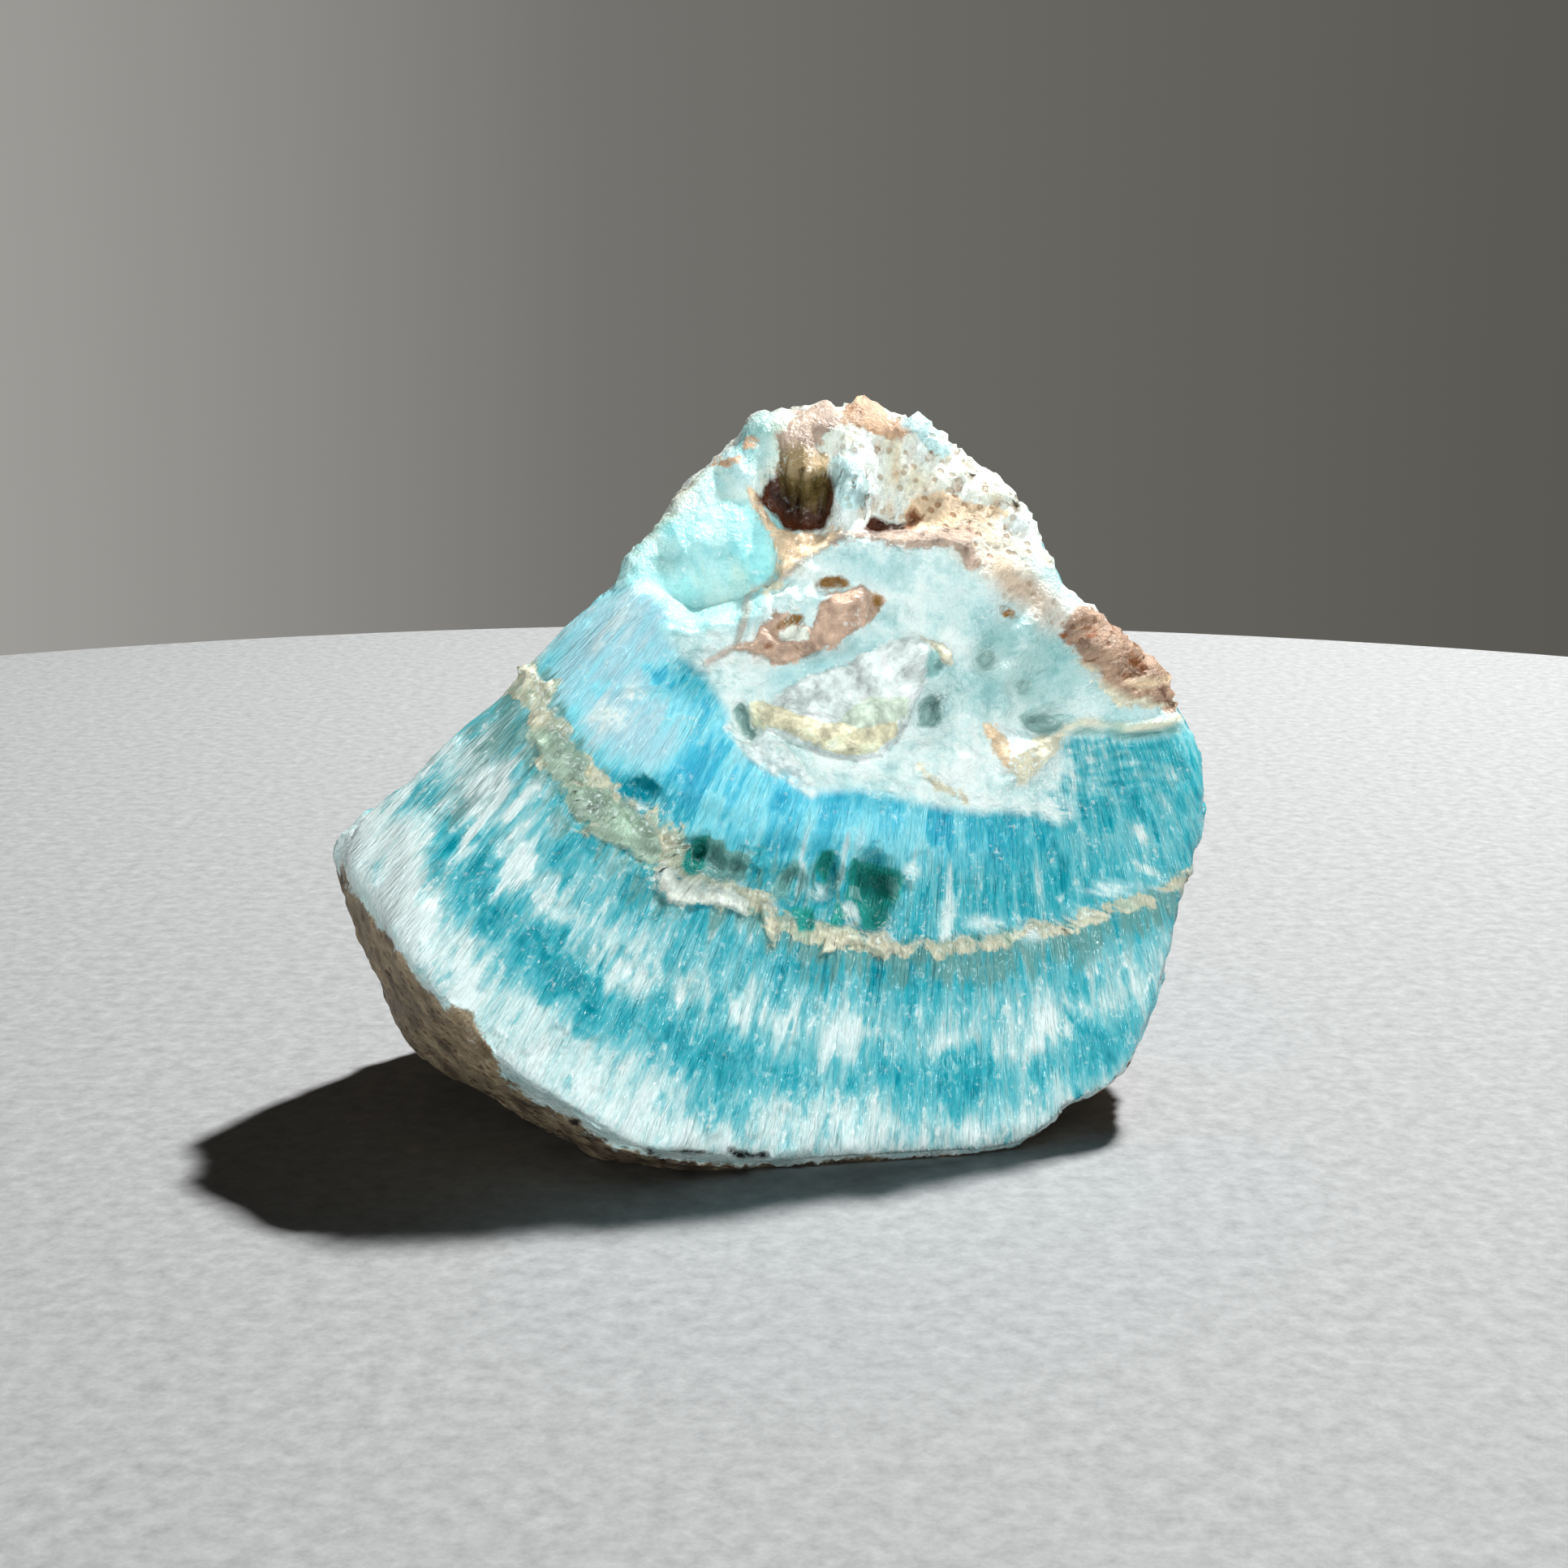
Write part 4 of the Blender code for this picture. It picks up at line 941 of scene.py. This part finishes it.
def make_skin():
    """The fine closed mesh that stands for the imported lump."""
    mesh, directions = make_sphere()
    ends = edge_ends(mesh)
    points = smooth(wrap(directions), ends)
    place = read_place(points, read_normals(mesh, points))
    set_masks(place)
    place.look = look_of_fibres(place)
    points = press(place, relief(place))
    points[:, 2] = np.maximum(points[:, 2], -MIDDLE[2])
    read_normals(mesh, points)
    paint, fibres = paint_skin(place)
    growth_reach, growth = paint_growths(place)
    slope = np.max([cover(place, *WASHES[name][1:4], edge=0.9) for name in DRY_WASHES], axis=0)
    dry = place.rind + 0.8 * place.crust * place.porous + 0.7 * place.mass + 0.8 * slope
    dry = np.clip(dry, 0.0, 1.0)
    opaque = np.ones(len(points))
    keep(mesh, "paint", "FLOAT_COLOR", np.column_stack((paint, opaque)))
    keep(mesh, "growth", "FLOAT_COLOR", np.column_stack((growth, opaque)))
    keep(mesh, "hole", "FLOAT_COLOR", np.column_stack((place.hole_colour, opaque)))
    keep(mesh, "fan", "FLOAT_VECTOR", place.fan)
    keep(mesh, "look", "FLOAT_VECTOR", place.look)
    keep(mesh, "edges", "FLOAT_VECTOR", np.column_stack((growth_reach, place.hole_reach, dry)))
    keep(mesh, "fibres", "FLOAT", fibres)
    keep(mesh, "sugar", "FLOAT", place.sugar)
    mesh.shade_smooth()
    skin = bpy.data.objects.new("aragonite_skin", mesh)
    bpy.context.scene.collection.objects.link(skin)
    return skin


class Graph:
    """The nodes of one material or world, with a short call for each kind that is needed."""

    def __init__(self, tree):
        self.nodes, self.links = tree.nodes, tree.links

    def feed(self, socket, value):
        """Link a socket to another one, or give it a plain value."""
        if isinstance(value, bpy.types.NodeSocket):
            self.links.new(value, socket)
        else:
            socket.default_value = value

    def add(self, kind, **values):
        """A new node, with a value or a socket for each of its named inputs."""
        node = self.nodes.new("ShaderNode" + kind)
        for name, value in values.items():
            self.feed(node.inputs[name], value)
        return node

    def attribute(self, name, output="Fac"):
        node = self.add("Attribute")
        node.attribute_name = name
        return node.outputs[output]

    def noise(self, place, scale, detail, roughness=0.6):
        node = self.add("TexNoise", Vector=place, Scale=scale, Detail=detail, Roughness=roughness)
        return node.outputs["Fac"]

    def stretch(self, vector, scale):
        node = self.add("VectorMath")
        node.operation = "MULTIPLY"
        self.feed(node.inputs[0], vector)
        self.feed(node.inputs[1], scale)
        return node.outputs["Vector"]

    def split(self, vector):
        return self.add("SeparateXYZ", Vector=vector).outputs

    def fit(self, value, low, high, out_low, out_high):
        """A value taken from one range to another, and held inside it."""
        node = self.add("MapRange")
        for socket, number in zip(node.inputs, (value, low, high, out_low, out_high)):
            self.feed(socket, number)
        return node.outputs["Result"]

    def math(self, operation, first, second):
        node = self.add("Math")
        node.operation = operation
        self.feed(node.inputs[0], first)
        self.feed(node.inputs[1], second)
        return node.outputs[0]

    def mix(self, kind, share, first, second):
        """Two colours mixed. The mix node keeps its colours on its sockets 6 and 7."""
        node = self.add("Mix")
        node.data_type = "RGBA"
        node.blend_type = kind
        for index, value in ((0, share), (6, first), (7, second)):
            self.feed(node.inputs[index], value)
        return node.outputs[2]

    def ramp(self, value, stops):
        node = self.add("ValToRGB", Fac=value)
        elements = node.color_ramp.elements
        while len(elements) < len(stops):
            elements.new(0.5)
        for element, (place, colour) in zip(elements, stops):
            element.position = place
            element.color = solid(colour)
        return node.outputs["Color"]


def solid(colour):
    """A screen colour as a shader's socket takes it."""
    return (*linear(colour), 1.0)


def new_material(name):
    material = bpy.data.materials.new(name)
    material.use_nodes = True
    graph = Graph(material.node_tree)
    return material, graph, graph.nodes["Principled BSDF"]


def colour_fibres(graph, strands):
    """The streaked colour of the fibres, from how white, how blue and how beige they are."""
    white, blue, beige = graph.split(graph.attribute("look", "Vector"))
    calm = graph.fit(blue, 0.0, 1.0, 1.0, CALM_BLUE)
    tone = white
    for strand, tones in zip(strands, STRAND_TONES):
        change = graph.math("MULTIPLY", graph.fit(strand, *tones), calm)
        tone = graph.math("ADD", tone, change)
    colour = graph.mix("MIX", blue, graph.ramp(tone, TEAL_STOPS), graph.ramp(tone, BLUE_STOPS))
    in_streaks = graph.fit(strands[1], 0.35, 0.65, -0.45, 0.45)
    stained = graph.fit(graph.math("ADD", beige, in_streaks), 0.35, 0.95, 0.0, 0.85)
    return graph.mix("MIX", stained, colour, solid(SEAM_FADE))


def lay_crusts(graph, colour, reaches, grain, speckle):
    """A colour with the growths and the holes laid over it, each with frayed edges."""
    wide_fray = graph.fit(speckle, 0.3, 0.7, -0.35, 0.35)
    fray = graph.math("ADD", wide_fray, graph.fit(grain, 0.3, 0.7, -0.2, 0.2))
    patchy = graph.fit(speckle, 0.3, 0.7, 0.78, 1.2)
    for reach, name, share in zip(reaches, ("growth", "hole"), (1.0, 0.4)):
        frayed = graph.math("ADD", reach, graph.math("MULTIPLY", fray, share))
        inside = graph.fit(frayed, -0.14, 0.14, 0.0, 1.0)
        tinted = graph.mix("MULTIPLY", 1.0, graph.attribute(name, "Color"), patchy)
        colour = graph.mix("MIX", inside, colour, tinted)
    return colour


def add_dust_and_glints(graph, colour, wet, dry, between_pores, grain, speckle):
    """A colour with dust and pores where it is dry, and painted glints where it is crystalline or
    wet.
    """
    dusted = graph.mix("MULTIPLY", dry, colour, graph.fit(grain, 0.3, 0.7, 0.66, 1.2))
    in_pores = graph.math("MULTIPLY", graph.fit(between_pores, 0.0, 1.0, 0.8, 0.0), dry)
    pored = graph.mix("MULTIPLY", in_pores, dusted, solid(PORE_TAN))
    # White specks on the sugary and the wet parts are painted glints.
    painted_sparkle = graph.math("MULTIPLY", graph.fit(speckle, 0.54, 0.64, 0.0, 0.5), wet)
    crystalline = graph.math("MAXIMUM", graph.attribute("sugar"), painted_sparkle)
    painted_glints = graph.math("MULTIPLY", graph.fit(grain, 0.54, 0.60, 0.0, 0.9), crystalline)
    return graph.mix("MIX", painted_glints, pored, solid(WHITE))


def stone_material():
    """Streaked fibres, painted crusts with crisp edges, grain on the dry parts, and painted
    glints.
    """
    material, graph, shader = new_material("aragonite")
    place = graph.add("TexCoord").outputs["Object"]
    fan = graph.attribute("fan", "Vector")
    fibres = graph.attribute("fibres")
    *reaches, dry = graph.split(graph.attribute("edges", "Vector"))
    wet = graph.fit(dry, 0.0, 0.6, 1.0, 0.0)
    grain = graph.noise(place, GRAINS_PER_METRE, 4.0, 0.65)
    speckle = graph.noise(place, SPECKLES_PER_METRE, 3.0)
    pores_near = graph.add("TexVoronoi", Vector=place, Scale=PORES_PER_METRE).outputs["Distance"]
    between_pores = graph.fit(pores_near, 0.16, 0.34, 0.0, 1.0)
    strands = [
        graph.noise(graph.stretch(fan, stretch), 1.0, detail) for stretch, detail in STRANDS
    ]

    veil = graph.ramp(graph.noise(place, CLOUDS_PER_METRE, 6.0, 0.7), CLOUD_STOPS)
    clouded = graph.mix("MULTIPLY", wet, graph.attribute("paint", "Color"), veil)
    colour = graph.mix("MIX", fibres, clouded, colour_fibres(graph, strands))
    colour = lay_crusts(graph, colour, reaches, grain, speckle)
    colour = add_dust_and_glints(graph, colour, wet, dry, between_pores, grain, speckle)
    glossy = graph.fit(speckle, 0.35, 0.65, *WET_ROUGHNESS)
    matt = graph.math("MULTIPLY", dry, DRY_ROUGHNESS)
    pored = graph.mix("MULTIPLY", dry, grain, between_pores)
    height = graph.mix("MIX", fibres, pored, strands[2])
    bump = graph.add("Bump", Strength=1.0, Distance=BUMP_HEIGHT, Height=height)
    inputs = {
        "Base Color": colour,
        "Roughness": graph.math("ADD", glossy, matt),
        "Normal": bump.outputs["Normal"],
        "IOR": STONE_IOR,
        "Subsurface Weight": SCATTER_SHARE,
        "Subsurface Radius": SCATTER_RADIUS,
        "Subsurface Scale": SCATTER_DEPTH,
    }
    for name, value in inputs.items():
        graph.feed(shader.inputs[name], value)
    return material


def floor_material():
    material, graph, shader = new_material("floor")
    place = graph.add("TexCoord").outputs["Object"]
    tone = graph.add("ValToRGB", Fac=graph.noise(place, FLOOR_GRAINS_PER_METRE, 6.0, 0.75))
    for element, colour in zip(tone.color_ramp.elements, FLOOR_TONES):
        element.color = (*colour, 1.0)
    graph.feed(shader.inputs["Base Color"], tone.outputs["Color"])
    graph.feed(shader.inputs["Roughness"], 0.8)
    return material


def make_floor():
    """A round pale floor. Beyond it the plain backdrop shows."""
    shape = bmesh.new()
    bmesh.ops.create_circle(shape, cap_ends=True, radius=FLOOR_RADIUS, segments=128)
    mesh = bpy.data.meshes.new("floor")
    shape.to_mesh(mesh)
    shape.free()
    floor = bpy.data.objects.new("floor", mesh)
    floor.location.z = -FLOOR_GAP
    floor.data.materials.append(floor_material())
    bpy.context.scene.collection.objects.link(floor)


def make_camera():
    """The camera of the picture, which looks straight at the middle point."""
    camera = bpy.data.cameras.new("camera")
    camera.sensor_width = SENSOR_WIDTH
    camera.lens = SENSOR_WIDTH * SIGHT_DISTANCE / MM_PER_PIXEL / PICTURE_WIDTH
    camera.shift_x = (PICTURE_WIDTH / 2 - MIDDLE_PIXEL[0]) / PICTURE_WIDTH
    camera.shift_y = (MIDDLE_PIXEL[1] - PICTURE_WIDTH / 2) / PICTURE_WIDTH
    camera.clip_start = 0.01
    viewer = bpy.data.objects.new("camera", camera)
    viewer.location = Vector((MIDDLE - AWAY * SIGHT_DISTANCE) * MM)
    viewer.rotation_mode = "QUATERNION"
    viewer.rotation_quaternion = Vector(AWAY).to_track_quat("-Z", "Y")
    bpy.context.scene.collection.objects.link(viewer)
    bpy.context.scene.camera = viewer


def make_backdrop():
    """A faint even light from all round, and the plain backdrop, which only the camera sees."""
    world = bpy.data.worlds.new("studio")
    world.use_nodes = True
    graph = Graph(world.node_tree)
    around = graph.nodes["Background"]
    graph.feed(around.inputs["Color"], AMBIENT_COLOUR)
    graph.feed(around.inputs["Strength"], AMBIENT_STRENGTH)
    heading = graph.split(graph.add("TexCoord").outputs["Generated"])
    sideways = graph.fit(heading[0], -0.4, 0.4, 0.0, 1.0)
    backdrop = graph.add("Background", Color=graph.ramp(sideways, BACKDROP))
    by_camera = graph.add("LightPath").outputs["Is Camera Ray"]
    pick = graph.add("MixShader")
    for socket, value in zip(pick.inputs, (by_camera, around.outputs[0], backdrop.outputs[0])):
        graph.feed(socket, value)
    graph.feed(graph.nodes["World Output"].inputs["Surface"], pick.outputs[0])
    bpy.context.scene.world = world
    bpy.context.scene.view_settings.view_transform = "Standard"


def make_lamps(skin):
    """The lamps, each turned to the stone's middle point."""
    stone = bpy.data.collections.new("filled")
    stone.objects.link(skin)
    for name, (size, power, place, colour, stone_alone) in LAMPS.items():
        lamp = bpy.data.lights.new(name, "AREA")
        lamp.shape = "RECTANGLE"
        lamp.size, lamp.size_y = size
        lamp.energy = power
        lamp.color = colour
        light = bpy.data.objects.new(name, lamp)
        light.location = place
        light.rotation_mode = "QUATERNION"
        toward = Vector(MIDDLE * MM) - light.location
        light.rotation_quaternion = toward.to_track_quat("-Z", "Y")
        light.light_linking.receiver_collection = stone if stone_alone else None
        bpy.context.scene.collection.objects.link(light)


make_camera()
make_floor()
make_backdrop()
skin = make_skin()
skin.data.materials.append(stone_material())
make_lamps(skin)
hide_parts("blue_aragonite")
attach(skin, "root")
